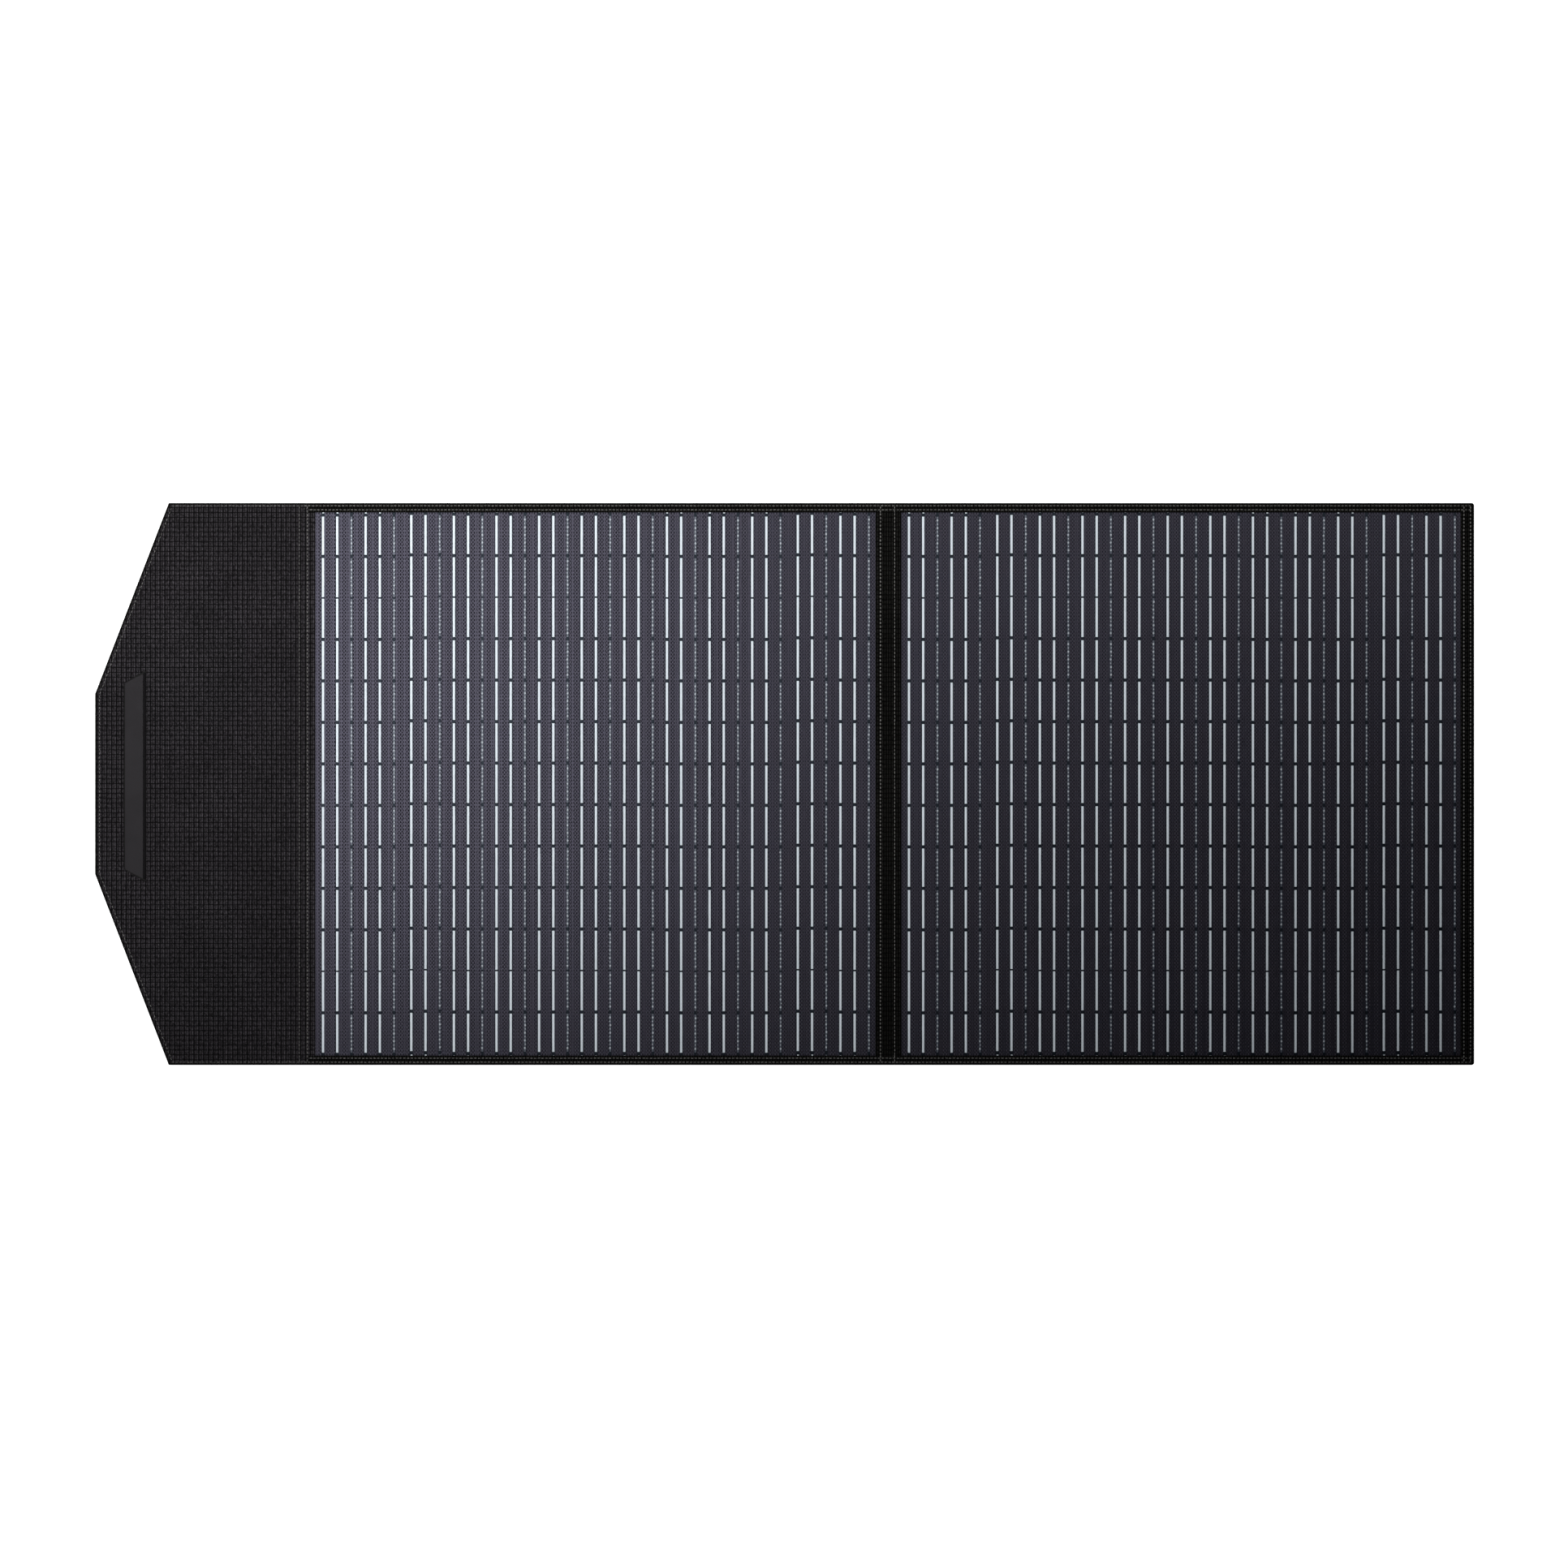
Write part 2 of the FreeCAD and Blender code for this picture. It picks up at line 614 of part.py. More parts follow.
def build_zip_slider():
    """Slider that rides over the coil, with two ears and a pin for the pull."""
    wall = POCKET_X[1]
    x0 = wall + TAPE_THICK + SLIDER_CLEAR
    x1 = wall + SLIDER_OUT
    y0 = SLIDER_Y - SLIDER_LENGTH / 2
    y1 = SLIDER_Y + SLIDER_LENGTH / 2
    body = box(x0, x1, y0, y1, ZIP_Z - SLIDER_HALF, ZIP_Z + SLIDER_HALF)
    side = COIL_WIDTH / 2 + SLIDER_CLEAR
    channel = box(x0 - 1, x1 - SLIDER_PLATE, y0 - 1, y1 + 1, ZIP_Z - side, ZIP_Z + side)
    body = body.cut(channel)
    pin_x, pin_y = pull_pin()
    ears = []
    for z0 in (ZIP_Z - SLIDER_HALF, ZIP_Z + SLIDER_HALF - EAR_THICK):
        ears.append(box(x1, pin_x + EAR_OUT, pin_y - EAR_HALF, pin_y + EAR_HALF, z0, z0 + EAR_THICK))
    pin = disc(pin_x, pin_y, ZIP_Z - SLIDER_HALF, ZIP_Z + SLIDER_HALF, PULL_PIN_R)
    save("zip_slider", fuse(body, pin, *ears))
    low, high = ZIP_Z - PULL_HALF, ZIP_Z + PULL_HALF
    eye = disc(pin_x, pin_y, low, high, PULL_EYE_R)
    half = PULL_THICK / 2
    tab = box(pin_x - half, pin_x + half, pin_y, pin_y + PULL_LENGTH, low, high)
    pull = fuse(eye, tab).cut(disc(pin_x, pin_y, low - 1, high + 1, PULL_EYE_HOLE_R))
    save("zip_pull", pull)


def screw_places():
    x0, x1 = BOX_X
    reach = BOX_HALF - SCREW_INSET
    return [(x, y) for x in (x0 + SCREW_INSET, x1 - SCREW_INSET) for y in (-reach, reach)]


def socket_boxes(grow):
    """The space that the two sockets take in the box's front wall."""
    x1 = BOX_X[1]
    half = DC_SIZE / 2 + grow
    dc = box(x1 - DC_LENGTH, x1 + 1, DC_Y - half, DC_Y + half, PORT_Z - half, PORT_Z + half)
    wide = USB_WIDTH / 2 + grow
    tall = USB_HEIGHT / 2 + grow
    usb = box(x1 - USB_LENGTH, x1 + 1, USB_Y - wide, USB_Y + wide, PORT_Z - tall, PORT_Z + tall)
    return [dc, usb]


def build_junction_box():
    x0, x1 = BOX_X
    y = BOX_HALF
    w = BOX_WALL
    shell = rounded(x0, x1, -y, y, LID_TOP, BOX_TOP, BOX_CORNER)
    hollow = rounded(x0 + w, x1 - w, w - y, y - w, LID_TOP - 1, BOX_TOP - BOX_ROOF, BOX_CORNER - w)
    shell = shell.cut(hollow)
    bosses = [disc(sx, sy, LID_TOP, BOX_TOP - BOX_ROOF, BOSS_R) for sx, sy in screw_places()]
    anchor = box(x1, x1 + CAP_OUT, ANCHOR_Y[0], ANCHOR_Y[1], LID_TOP, BOX_TOP - BOX_ROOF)
    base = fuse(shell, anchor, *bosses)
    holes = [disc(sx, sy, LID_TOP - 1, LID_TOP + SCREW_DEPTH + 1, SCREW_HOLE_R) for sx, sy in screw_places()]
    for cutter in holes + socket_boxes(0) + [lead_drop_hole(BOX_TOP - 2, BOX_TOP + 1)]:
        base = base.cut(cutter)
    save("junction_base", base)
    lid = rounded(x0, x1, -y, y, LID_BOTTOM, LID_TOP, BOX_CORNER)
    for sx, sy in screw_places():
        lid = lid.cut(disc(sx, sy, LID_BOTTOM - 1, LID_TOP + 1, SCREW_HOLE_R))
        sink_r = SCREW_HEAD_R + SCREW_HEAD_CLEAR
        lid = lid.cut(disc(sx, sy, LID_BOTTOM - 1, LID_BOTTOM + SCREW_HEAD, sink_r))
    save("junction_lid", lid)
    screws = []
    for sx, sy in screw_places():
        head = disc(sx, sy, LID_BOTTOM, LID_BOTTOM + SCREW_HEAD, SCREW_HEAD_R)
        shank = disc(sx, sy, LID_BOTTOM + SCREW_HEAD, LID_TOP + SCREW_DEPTH, SCREW_R)
        screws.append(fuse(head, shank))
    save("junction_screws", group(screws))


def build_electrics():
    x1 = BOX_X[1]
    face = x1 + PORT_OUT
    half = DC_SIZE / 2
    jack = box(x1 - DC_LENGTH, face, DC_Y - half, DC_Y + half, PORT_Z - half, PORT_Z + half)
    along = V(1, 0, 0)
    mouth = face - DC_DEPTH
    jack = jack.cut(Part.makeCylinder(DC_BORE_R, DC_DEPTH + 1, V(mouth, DC_Y, PORT_Z), along))
    pin = Part.makeCylinder(DC_PIN_R, DC_DEPTH - 1, V(mouth, DC_Y, PORT_Z), along)
    save("dc_socket", fuse(jack, pin))
    wide, tall = USB_WIDTH / 2, USB_HEIGHT / 2
    x0 = x1 - USB_LENGTH
    shell = box(x0, face, USB_Y - wide, USB_Y + wide, PORT_Z - tall, PORT_Z + tall)
    wide, tall = wide - USB_SHELL, tall - USB_SHELL
    back = x0 + USB_BACK
    shell = shell.cut(box(back, x1 + 1, USB_Y - wide, USB_Y + wide, PORT_Z - tall, PORT_Z + tall))
    top = PORT_Z + tall - TONGUE_DROP
    y0, y1 = USB_Y - TONGUE_HALF, USB_Y + TONGUE_HALF
    tongue = box(back, x1 - TONGUE_SHORT, y0, y1, top - TONGUE_THICK, top)
    save("usb_socket", fuse(shell, tongue))
    inner = BOX_X[0] + BOX_WALL + PCB_CLEAR
    reach = BOX_HALF - BOX_WALL - PCB_CLEAR
    top = PORT_Z + PCB_THICK / 2
    pcb = box(inner, x0 - PCB_CLEAR, -reach, reach, top - PCB_THICK, top)
    for sx, sy in screw_places():
        pcb = pcb.cut(disc(sx, sy, 0, TOP, BOSS_R + BOSS_CLEAR))
    chips = []
    for cx, cy, side in CHIPS:
        half = side / 2
        chips.append(box(cx - half, cx + half, cy - half, cy + half, top, top + CHIP_HEIGHT))
    save("circuit_board", fuse(pcb, *chips))


def build_port_cap():
    """Rubber cover over the USB socket, hinged at one end, with a plug that enters the mouth."""
    x0 = BOX_X[1] + CAP_GAP
    x1 = x0 + CAP_OUT
    tall = USB_HEIGHT / 2 + CAP_LAP
    plate = box(x0, x1, CAP_END_Y, CAP_HINGE_Y - CAP_GAP, PORT_Z - tall, PORT_Z + tall)
    y0, y1 = USB_Y - PLUG_HALF, USB_Y + PLUG_HALF
    plug = box(x0 - CAP_PLUG, x0, y0, y1, PORT_Z - PLUG_TALL, PORT_Z + PLUG_TALL)
    save("port_cap", fuse(plate, plug))


os.makedirs("parts", exist_ok=True)
LEFT = Panel("left", FLAP_FOLD, CENTRE_FOLD, LEFT_WINDOW, LEFT_STAND_X, True)
RIGHT = Panel("right", CENTRE_FOLD, HALF_LENGTH, RIGHT_WINDOW, RIGHT_STAND_X, False)
for panel in (LEFT, RIGHT):
    build_panel(panel)
    build_stand(panel)
build_spine()
build_flap()
build_handle()
build_pocket()
build_zip()
build_zip_slider()
build_junction_box()
build_electrics()
build_port_cap()
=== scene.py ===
import json
import math

import bmesh
import bpy
import numpy as np
from mathutils import Matrix, Vector


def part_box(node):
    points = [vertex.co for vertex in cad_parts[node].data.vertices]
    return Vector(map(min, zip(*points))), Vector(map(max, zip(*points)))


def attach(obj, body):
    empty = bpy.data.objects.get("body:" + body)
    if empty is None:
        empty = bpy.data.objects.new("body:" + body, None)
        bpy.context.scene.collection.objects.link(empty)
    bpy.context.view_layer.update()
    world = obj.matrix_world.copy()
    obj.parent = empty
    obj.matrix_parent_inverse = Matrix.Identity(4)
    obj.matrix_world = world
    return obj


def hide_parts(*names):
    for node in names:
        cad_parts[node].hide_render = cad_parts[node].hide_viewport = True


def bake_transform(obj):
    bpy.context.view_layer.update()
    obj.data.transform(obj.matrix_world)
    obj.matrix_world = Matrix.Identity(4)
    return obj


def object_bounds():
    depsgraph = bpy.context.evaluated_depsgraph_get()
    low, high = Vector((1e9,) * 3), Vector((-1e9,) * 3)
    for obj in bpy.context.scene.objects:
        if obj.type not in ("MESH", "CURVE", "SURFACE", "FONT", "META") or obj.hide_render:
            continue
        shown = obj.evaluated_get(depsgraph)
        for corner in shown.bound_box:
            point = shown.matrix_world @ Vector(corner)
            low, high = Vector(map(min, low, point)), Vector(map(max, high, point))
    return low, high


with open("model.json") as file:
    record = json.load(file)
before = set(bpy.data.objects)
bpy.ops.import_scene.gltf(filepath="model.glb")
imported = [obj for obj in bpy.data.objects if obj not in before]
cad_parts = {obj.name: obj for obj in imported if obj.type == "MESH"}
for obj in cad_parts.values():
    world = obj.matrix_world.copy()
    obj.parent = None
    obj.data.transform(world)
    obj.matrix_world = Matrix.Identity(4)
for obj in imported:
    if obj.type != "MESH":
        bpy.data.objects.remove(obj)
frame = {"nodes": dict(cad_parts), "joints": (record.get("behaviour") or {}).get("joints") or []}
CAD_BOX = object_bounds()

# ---------------- places, from the frame
MM = 0.001
JOINTS = {joint["name"]: joint.get("pos_m") for joint in frame["joints"]}
NODES = frame["nodes"]
SIDES = ("left", "right")
CENTRE_X = JOINTS["centre_fold"][0]
LIFT_X = JOINTS["flap_lift"][0]
WRAP_X = JOINTS["flap_wrap"][0]
SPINE_X = (LIFT_X + WRAP_X) / 2
LOW, HIGH = CAD_BOX
HALF_WIDTH = HIGH.y
END_X = HIGH.x
FLAP_X = LOW.x
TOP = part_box("left_edge_hem")[1].z
COVER_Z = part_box("left_back_cover")[0].z
FLAP_BACK_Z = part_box("flap_back_skin")[0].z
FILM_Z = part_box("left_front_film")[1].z
WINDOW_LAP = 1.2 * MM
LEFT_WINDOW = (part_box("left_front_film")[0].x + WINDOW_LAP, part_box("left_gusset")[0].x)
RIGHT_WINDOW = (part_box("right_gusset")[1].x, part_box("right_front_film")[1].x - WINDOW_LAP)

ALONG_X = (1, 0, 0)
ALONG_Y = (0, 1, 0)

# ---------------- sizes of the cloth work
HEM = 8.6 * MM
BINDING_TOP = TOP + 0.2 * MM
BINDING_START = LEFT_WINDOW[0] - 7.4 * MM
OUTER_ROW = 2.4 * MM
INNER_ROW = 6.1 * MM
FOLD_REACH = 9.5 * MM
STITCH_PITCH = 3.45 * MM
PROUD = 0.2 * MM
TAPER_X = -569.0 * MM
FLAP_END_HALF = 83.25 * MM
FLAP_ROW_INSET = 3.8 * MM
SLOT_X = -590.1 * MM
BORDER_ROWS = (END_X - 3.1 * MM, END_X - 9.3 * MM)
WEAVE_PITCH = 4.475

rng = np.random.default_rng(7)
scene = bpy.context.scene


# ---------------- materials
class Graph:
    """A node material: a Principled shader with helpers that draw patterns in the part's frame, in mm."""

    def __init__(self, name):
        self.material = bpy.data.materials.new(name)
        self.material.use_nodes = True
        self.nodes = self.material.node_tree.nodes
        self.links = self.material.node_tree.links
        self.shader = self.nodes["Principled BSDF"]
        self.place = self.nodes.new("ShaderNodeTexCoord").outputs["Object"]
        split = self.nodes.new("ShaderNodeSeparateXYZ")
        self.links.new(self.place, split.inputs[0])
        self.x, self.y, _ = split.outputs

    def put(self, socket, value):
        if isinstance(value, bpy.types.NodeSocket):
            self.links.new(value, socket)
        else:
            socket.default_value = value

    def math(self, kind, *values):
        node = self.nodes.new("ShaderNodeMath")
        node.operation = kind
        for socket, value in zip(node.inputs, values):
            self.put(socket, value)
        return node.outputs[0]

    def plus(self, first, second):
        return self.math("ADD", first, second)

    def minus(self, first, second):
        return self.math("SUBTRACT", first, second)

    def times(self, first, second):
        return self.math("MULTIPLY", first, second)

    def ramp(self, value, low, high, out_low=0.0, out_high=1.0):
        node = self.nodes.new("ShaderNodeMapRange")
        node.interpolation_type = "SMOOTHSTEP"
        self.put(node.inputs["Value"], value)
        names = ("From Min", "From Max", "To Min", "To Max")
        for name, number in zip(names, (low, high, out_low, out_high)):
            node.inputs[name].default_value = number
        return node.outputs["Result"]

    def vary(self, noise, low=0.0, high=1.0):
        """Runs from low to high over the middle of a noise's range."""
        return self.ramp(noise, 0.3, 0.7, low, high)

    def line(self, along, pitch, at, width, soft):
        """1 on evenly spaced lines across a direction, falling softly to 0 beside them."""
        turns = self.math("DIVIDE", self.minus(along, at * MM), pitch * MM)
        near = self.minus(self.math("FRACT", self.plus(turns, 0.5)), 0.5)
        away = self.times(self.math("ABSOLUTE", near), pitch * MM)
        return self.ramp(away, (width / 2 - soft) * MM, (width / 2 + soft) * MM, 1.0, 0.0)

    def wave(self, along, pitch):
        return self.math("COSINE", self.times(along, 2 * math.pi / (pitch * MM)))

    def noise(self, size, detail=2.0, stretch=None):
        node = self.nodes.new("ShaderNodeTexNoise")
        node.inputs["Scale"].default_value = 1 / (size * MM)
        node.inputs["Detail"].default_value = detail
        place = self.place
        if stretch:
            scale = self.nodes.new("ShaderNodeVectorMath")
            scale.operation = "MULTIPLY"
            self.links.new(self.place, scale.inputs[0])
            scale.inputs[1].default_value = stretch
            place = scale.outputs[0]
        self.links.new(place, node.inputs["Vector"])
        return node.outputs["Fac"]

    def mix(self, share, first, second, kind="MIX"):
        node = self.nodes.new("ShaderNodeMix")
        node.data_type = "RGBA"
        node.blend_type = kind
        self.put(node.inputs["Factor"], share)
        for socket, colour in ((node.inputs[6], first), (node.inputs[7], second)):
            self.put(socket, (*colour, 1.0) if isinstance(colour, tuple) else colour)
        return node.outputs[2]

    def shaded(self, colour, shade):
        return self.mix(1.0, colour, shade, "MULTIPLY")

    def bump(self, height, distance):
        node = self.nodes.new("ShaderNodeBump")
        node.inputs["Strength"].default_value = 1.0
        node.inputs["Distance"].default_value = distance * MM
        self.links.new(height, node.inputs["Height"])
        self.links.new(node.outputs[0], self.shader.inputs["Normal"])

    def finish(self, colour, roughness, metal=0.0, specular=0.5):
        names = ("Base Color", "Roughness", "Metallic", "Specular IOR Level")
        for name, value in zip(names, (colour, roughness, metal, specular)):
            self.put(self.shader.inputs[name], value)
        return self.material


def scaled(level, colour):
    return tuple(level * part for part in colour)


def flap_weave():
    """Coarse square basket weave: pairs of upright ribs between dark lines."""
    g = Graph("flap_weave")
    start = 0.1
    rib_off = 1.15
    cross = 0.25
    upright = g.line(g.x, WEAVE_PITCH, start, 1.05, 0.25)
    bright = g.line(g.x, WEAVE_PITCH, start - rib_off, 0.95, 0.35)
    second = g.line(g.x, WEAVE_PITCH, start + rib_off, 0.85, 0.35)
    across = g.line(g.y, WEAVE_PITCH, cross, 0.95, 0.3)
    stronger = g.line(g.y, 2 * WEAVE_PITCH, cross, 0.95, 0.3)
    across = g.plus(g.times(across, 0.85), g.times(stronger, 0.13))
    weft = g.line(g.y, WEAVE_PITCH / 3, cross, 0.6, 0.3)
    thread = g.noise(0.8, 2.0, (1.0, 0.6, 1.0))
    cloud = g.noise(45, 3.0)
    colour = g.mix(bright, (0.0115, 0.0104, 0.0117), (0.034, 0.031, 0.0352))
    colour = g.mix(g.times(second, 0.7), colour, (0.026, 0.0235, 0.0268))
    colour = g.mix(g.times(weft, 0.45), colour, (0.004, 0.0036, 0.004))
    colour = g.mix(across, colour, (0.0012, 0.0011, 0.0013))
    colour = g.mix(g.times(upright, 0.9), colour, (0.0008, 0.0008, 0.001))
    colour = g.shaded(colour, g.times(g.vary(thread, 0.3, 1.9), g.vary(cloud, 0.9, 1.1)))
    rib = g.plus(g.times(bright, 0.6), g.times(second, 0.45))
    low = g.plus(upright, g.times(across, 0.9))
    g.bump(g.plus(g.minus(rib, low), g.times(thread, 0.5)), 0.3)
    return g.finish(colour, 0.8, specular=0.05)


def dark_weave(name, pitch=WEAVE_PITCH, level=1.0):
    """Black coated cloth of the hems, the gusset and the back: two upright ribs to each crossing line."""
    g = Graph(name)
    warp = g.line(g.x, pitch / 2, 1.06, 0.17 * pitch, 0.07 * pitch)
    weft = g.line(g.y, pitch, 0.3, 0.24 * pitch, 0.09 * pitch)
    thread = g.noise(0.8)
    cloud = g.noise(60, 3.0)
    colour = g.mix(warp, scaled(level, (0.0022, 0.0022, 0.0020)), scaled(level, (0.0118, 0.0115, 0.0106)))
    colour = g.mix(g.times(weft, 0.7), colour, scaled(level, (0.0003, 0.0003, 0.0003)))
    colour = g.shaded(colour, g.times(g.vary(thread, 0.35, 1.8), g.vary(cloud, 0.88, 1.12)))
    g.bump(g.plus(g.minus(warp, weft), g.times(thread, 0.4)), 0.15)
    return g.finish(colour, 0.9, specular=0.0)


def lattice(g):
    """The film's embossing: columns of dimples, some deeper, from -2.3 to 2.3."""
    columns = g.plus(g.wave(g.x, 2.43), g.times(g.wave(g.x, 3.62), 0.7))
    dimples = g.times(columns, g.wave(g.y, 3.52))
    streaks = g.times(g.wave(g.x, 2.43), 0.4)
    bands = g.times(g.wave(g.y, 2.98), 0.2)
    return g.plus(dimples, g.plus(streaks, bands))


def solar_film():
    """Embossed film on dark cells. Its dimples are coloured near black as painted shade, and the raised spots
    between them are coloured light as painted sheen.
    """
    g = Graph("solar_film")
    emboss = lattice(g)
    deep = g.ramp(emboss, 0.1, 1.0)
    sheen_fleck = g.ramp(emboss, -1.1, -0.2, 1.0, 0.0)
    grain = g.noise(1.1)
    tint = g.noise(30)
    base = g.mix(g.vary(tint), (0.0050, 0.0052, 0.0082), (0.0062, 0.0052, 0.0072))
    # painted shade: the deep dimples are coloured near black, for the shade they would hold
    colour = g.mix(g.times(deep, 0.97), base, (0.0002, 0.0002, 0.0006))
    # painted sheen: the raised spots between the dimples are coloured light, for the film's reflection of the
    # lamps
    colour = g.mix(g.times(sheen_fleck, 0.62), colour, (0.036, 0.034, 0.041))
    colour = g.shaded(colour, g.ramp(grain, 0.25, 0.75, 0.55, 1.5))
    g.bump(g.plus(g.minus(g.times(sheen_fleck, 0.5), deep), g.times(grain, 0.4)), 0.14)
    g.shader.inputs["Specular Tint"].default_value = (0.78, 0.75, 1.0, 1.0)
    return g.finish(colour, g.plus(g.vary(grain, 0.34, 0.43), g.times(deep, 0.57)), specular=0.40)


def clear_edge():
    """The dark clear strip that shows round each ribbon and across its breaks."""
    g = Graph("clear_edge")
    deep = g.ramp(lattice(g), 0.05, 0.85)
    grain = g.noise(1.1)
    # painted shade: the dimples are coloured darker than the rest of the strip
    colour = g.mix(deep, (0.0024, 0.0042, 0.0072), (0.0010, 0.0016, 0.0030))
    colour = g.shaded(colour, g.ramp(grain, 0.25, 0.75, 0.7, 1.35))
    g.bump(grain, 0.05)
    g.shader.inputs["Specular Tint"].default_value = (0.7, 0.82, 1.0, 1.0)
    return g.finish(colour, g.vary(grain, 0.42, 0.5), specular=0.19)


def ribbon_metal(name, tone):
    """Tinned ribbon seen through the film: bright, with the film's lattice on it."""
    g = Graph(name)
    fine = g.times(g.wave(g.x, 2.1), g.wave(g.y, 3.5))
    grain = g.noise(0.8, 2.0, (1.0, 0.4, 1.0))
    g.bump(g.plus(fine, grain), 0.03)
    shade = g.times(g.ramp(fine, -1.0, 1.0, 0.92, 1.0), g.vary(grain, 0.94, 1.0))
    return g.finish(g.shaded(tone, shade), 0.45, specular=0.1)


def dotted_metal():
    """The narrow ribbon, mostly hidden under the cell's silver lines."""
    g = Graph("dotted_metal")
    grain = g.noise(0.7)
    g.bump(grain, 0.03)
    return g.finish(g.mix(g.vary(grain), (0.036, 0.044, 0.062), (0.075, 0.086, 0.112)), 0.45, metal=0.2)


def thread(name, dark, light):
    """Twisted sewing thread."""
    g = Graph(name)
    g.bump(g.wave(g.plus(g.x, g.y), 0.5), 0.04)
    return g.finish(g.mix(g.vary(g.noise(2.2)), dark, light), 0.7, specular=0.2)


def smooth_rubber(name, colour, rough=0.55):
    g = Graph(name)
    grain = g.noise(0.5, 3.0)
    cloud = g.ramp(g.noise(22, 3.0), 0.35, 0.65)
    g.bump(grain, 0.02)
    colour = g.mix(cloud, scaled(0.93, colour), scaled(1.05, colour))
    return g.finish(colour, g.vary(grain, rough - 0.06, rough + 0.06), specular=0.08)


def webbing(name, level=1.0):
    """Ribbed woven tape that runs along Y."""
    g = Graph(name)
    rib = g.wave(g.x, 1.6)
    slant = g.times(g.math("ABSOLUTE", g.wave(g.x, 3.2)), 0.5 * MM)
    pick = g.wave(g.plus(g.y, slant), 1.3)
    weave = g.plus(g.times(rib, 0.6), g.times(pick, 0.5))
    fibre = g.noise(0.6)
    low, high = scaled(level, (0.006, 0.006, 0.0065)), scaled(level, (0.026, 0.026, 0.028))
    colour = g.shaded(g.mix(g.ramp(weave, -1.0, 1.0), low, high), g.vary(fibre, 0.75, 1.25))
    g.bump(g.plus(weave, fibre), 0.15)
    return g.finish(colour, 0.75, specular=0.1)


def moulded(name, colour, rough=0.5, specular=0.4):
    """Moulded plastic with a fine spark texture."""
    g = Graph(name)
    cloud = g.noise(15, 3.0)
    g.bump(g.noise(0.35), 0.03)
    colour = g.shaded(colour, g.vary(cloud, 0.9, 1.1))
    return g.finish(colour, g.vary(cloud, rough - 0.05, rough + 0.07), specular=specular)


def brushed(name, colour, rough=0.34):
    """Metal brushed along Y, a little worn."""
    g = Graph(name)
    brush = g.noise(0.5, 3.0, (1.0, 0.08, 1.0))
    wear = g.ramp(g.noise(4, 4.0), 0.35, 0.65, 0.9, 1.0)
    g.bump(brush, 0.015)
    colour = g.shaded(colour, g.times(g.vary(brush, 0.86, 1.05), wear))
    return g.finish(colour, g.vary(brush, rough - 0.08, rough + 0.1), metal=1.0)


def board_fibre():
    g = Graph("board_fibre")
    fibre = g.noise(1.5, 3.0, (0.2, 1.0, 1.0))
    colour = g.mix(g.vary(fibre), (0.075, 0.07, 0.062), (0.13, 0.12, 0.105))
    colour = g.shaded(colour, g.vary(g.noise(6), 0.85, 1.1))
    g.bump(fibre, 0.08)
    return g.finish(colour, 0.85, specular=0.2)


def cell_silicon():
    """Dark silicon with fine silver fingers across it."""
    g = Graph("cell_silicon")
    finger = g.line(g.y, 1.4, 0.0, 0.1, 0.04)
    base = g.mix(g.vary(g.noise(30)), (0.008, 0.009, 0.02), (0.013, 0.012, 0.026))
    return g.finish(g.mix(g.times(finger, 0.5), base, (0.35, 0.36, 0.38)), 0.3)


def circuit_green():
    g = Graph("circuit_green")
    track = g.line(g.y, 3.2, 0.0, 0.5, 0.1)
    pad = g.line(g.x, 6.4, 0.0, 1.2, 0.1)
    colour = g.mix(track, (0.008, 0.05, 0.022), (0.02, 0.09, 0.04))
    colour = g.mix(g.times(g.times(track, pad), 0.8), colour, (0.5, 0.42, 0.2))
    g.bump(track, 0.03)
    return g.finish(colour, 0.35)


def floor_white():
    g = Graph("floor_white")
    colour = g.mix(g.vary(g.noise(800)), (0.80, 0.80, 0.80), (0.82, 0.82, 0.82))
    g.shader.inputs["Emission Color"].default_value = (1, 1, 1, 1)
    g.shader.inputs["Emission Strength"].default_value = 1.0
    return g.finish(colour, 0.9, specular=0.0)


FLAP_WEAVE = flap_weave()
DARK_WEAVE = dark_weave("dark_weave")
BACK_WEAVE = dark_weave("back_weave", 3.6, 4.2)
FILM = solar_film()
CLEAR_EDGE = clear_edge()
RIBBON = ribbon_metal("ribbon_metal", (0.62, 0.675, 0.73))
SOLDER = ribbon_metal("solder_metal", (0.36, 0.39, 0.43))
DOTTED = dotted_metal()
THREAD = thread("thread_light", (0.12, 0.118, 0.112), (0.25, 0.247, 0.235))
THREAD_BOLD = thread("thread_bold", (0.078, 0.077, 0.073), (0.165, 0.163, 0.155))
THREAD_DIM = thread("thread_dim", (0.072, 0.071, 0.068), (0.16, 0.158, 0.15))
HANDLE = smooth_rubber("handle_rubber", (0.0134, 0.0121, 0.0139), 0.6)
# painted shade: the strap is coloured far darker than the same rubber of the handle face, for the shadow in
# the slot's gap
SHADED_STRAP_RUBBER = smooth_rubber("strap_rubber_painted_shade", (0.0034, 0.0030, 0.0036), 0.8)
RUBBER = smooth_rubber("foot_rubber", (0.012, 0.012, 0.0125), 0.65)
CAP_RUBBER = smooth_rubber("cap_rubber", (0.02, 0.02, 0.021), 0.6)
LEAD = smooth_rubber("lead_jacket", (0.01, 0.01, 0.01), 0.45)
WEBBING = webbing("webbing_y")
ZIP_TAPE = webbing("zip_tape", 0.7)
CORE_SHEET = moulded("core_sheet", (0.004, 0.004, 0.004), 0.7, 0.1)
COIL = moulded("coil_nylon", (0.012, 0.012, 0.0125), 0.38)
HOUSING = moulded("housing_plastic", (0.014, 0.014, 0.015), 0.55)
BACKING = moulded("backing_sheet", (0.03, 0.03, 0.034), 0.5)
STEEL = brushed("steel_plain", (0.56, 0.57, 0.58))
BLACK_METAL = brushed("black_metal", (0.045, 0.045, 0.048), 0.42)
BOARD = board_fibre()
CELL = cell_silicon()
CIRCUIT = circuit_green()


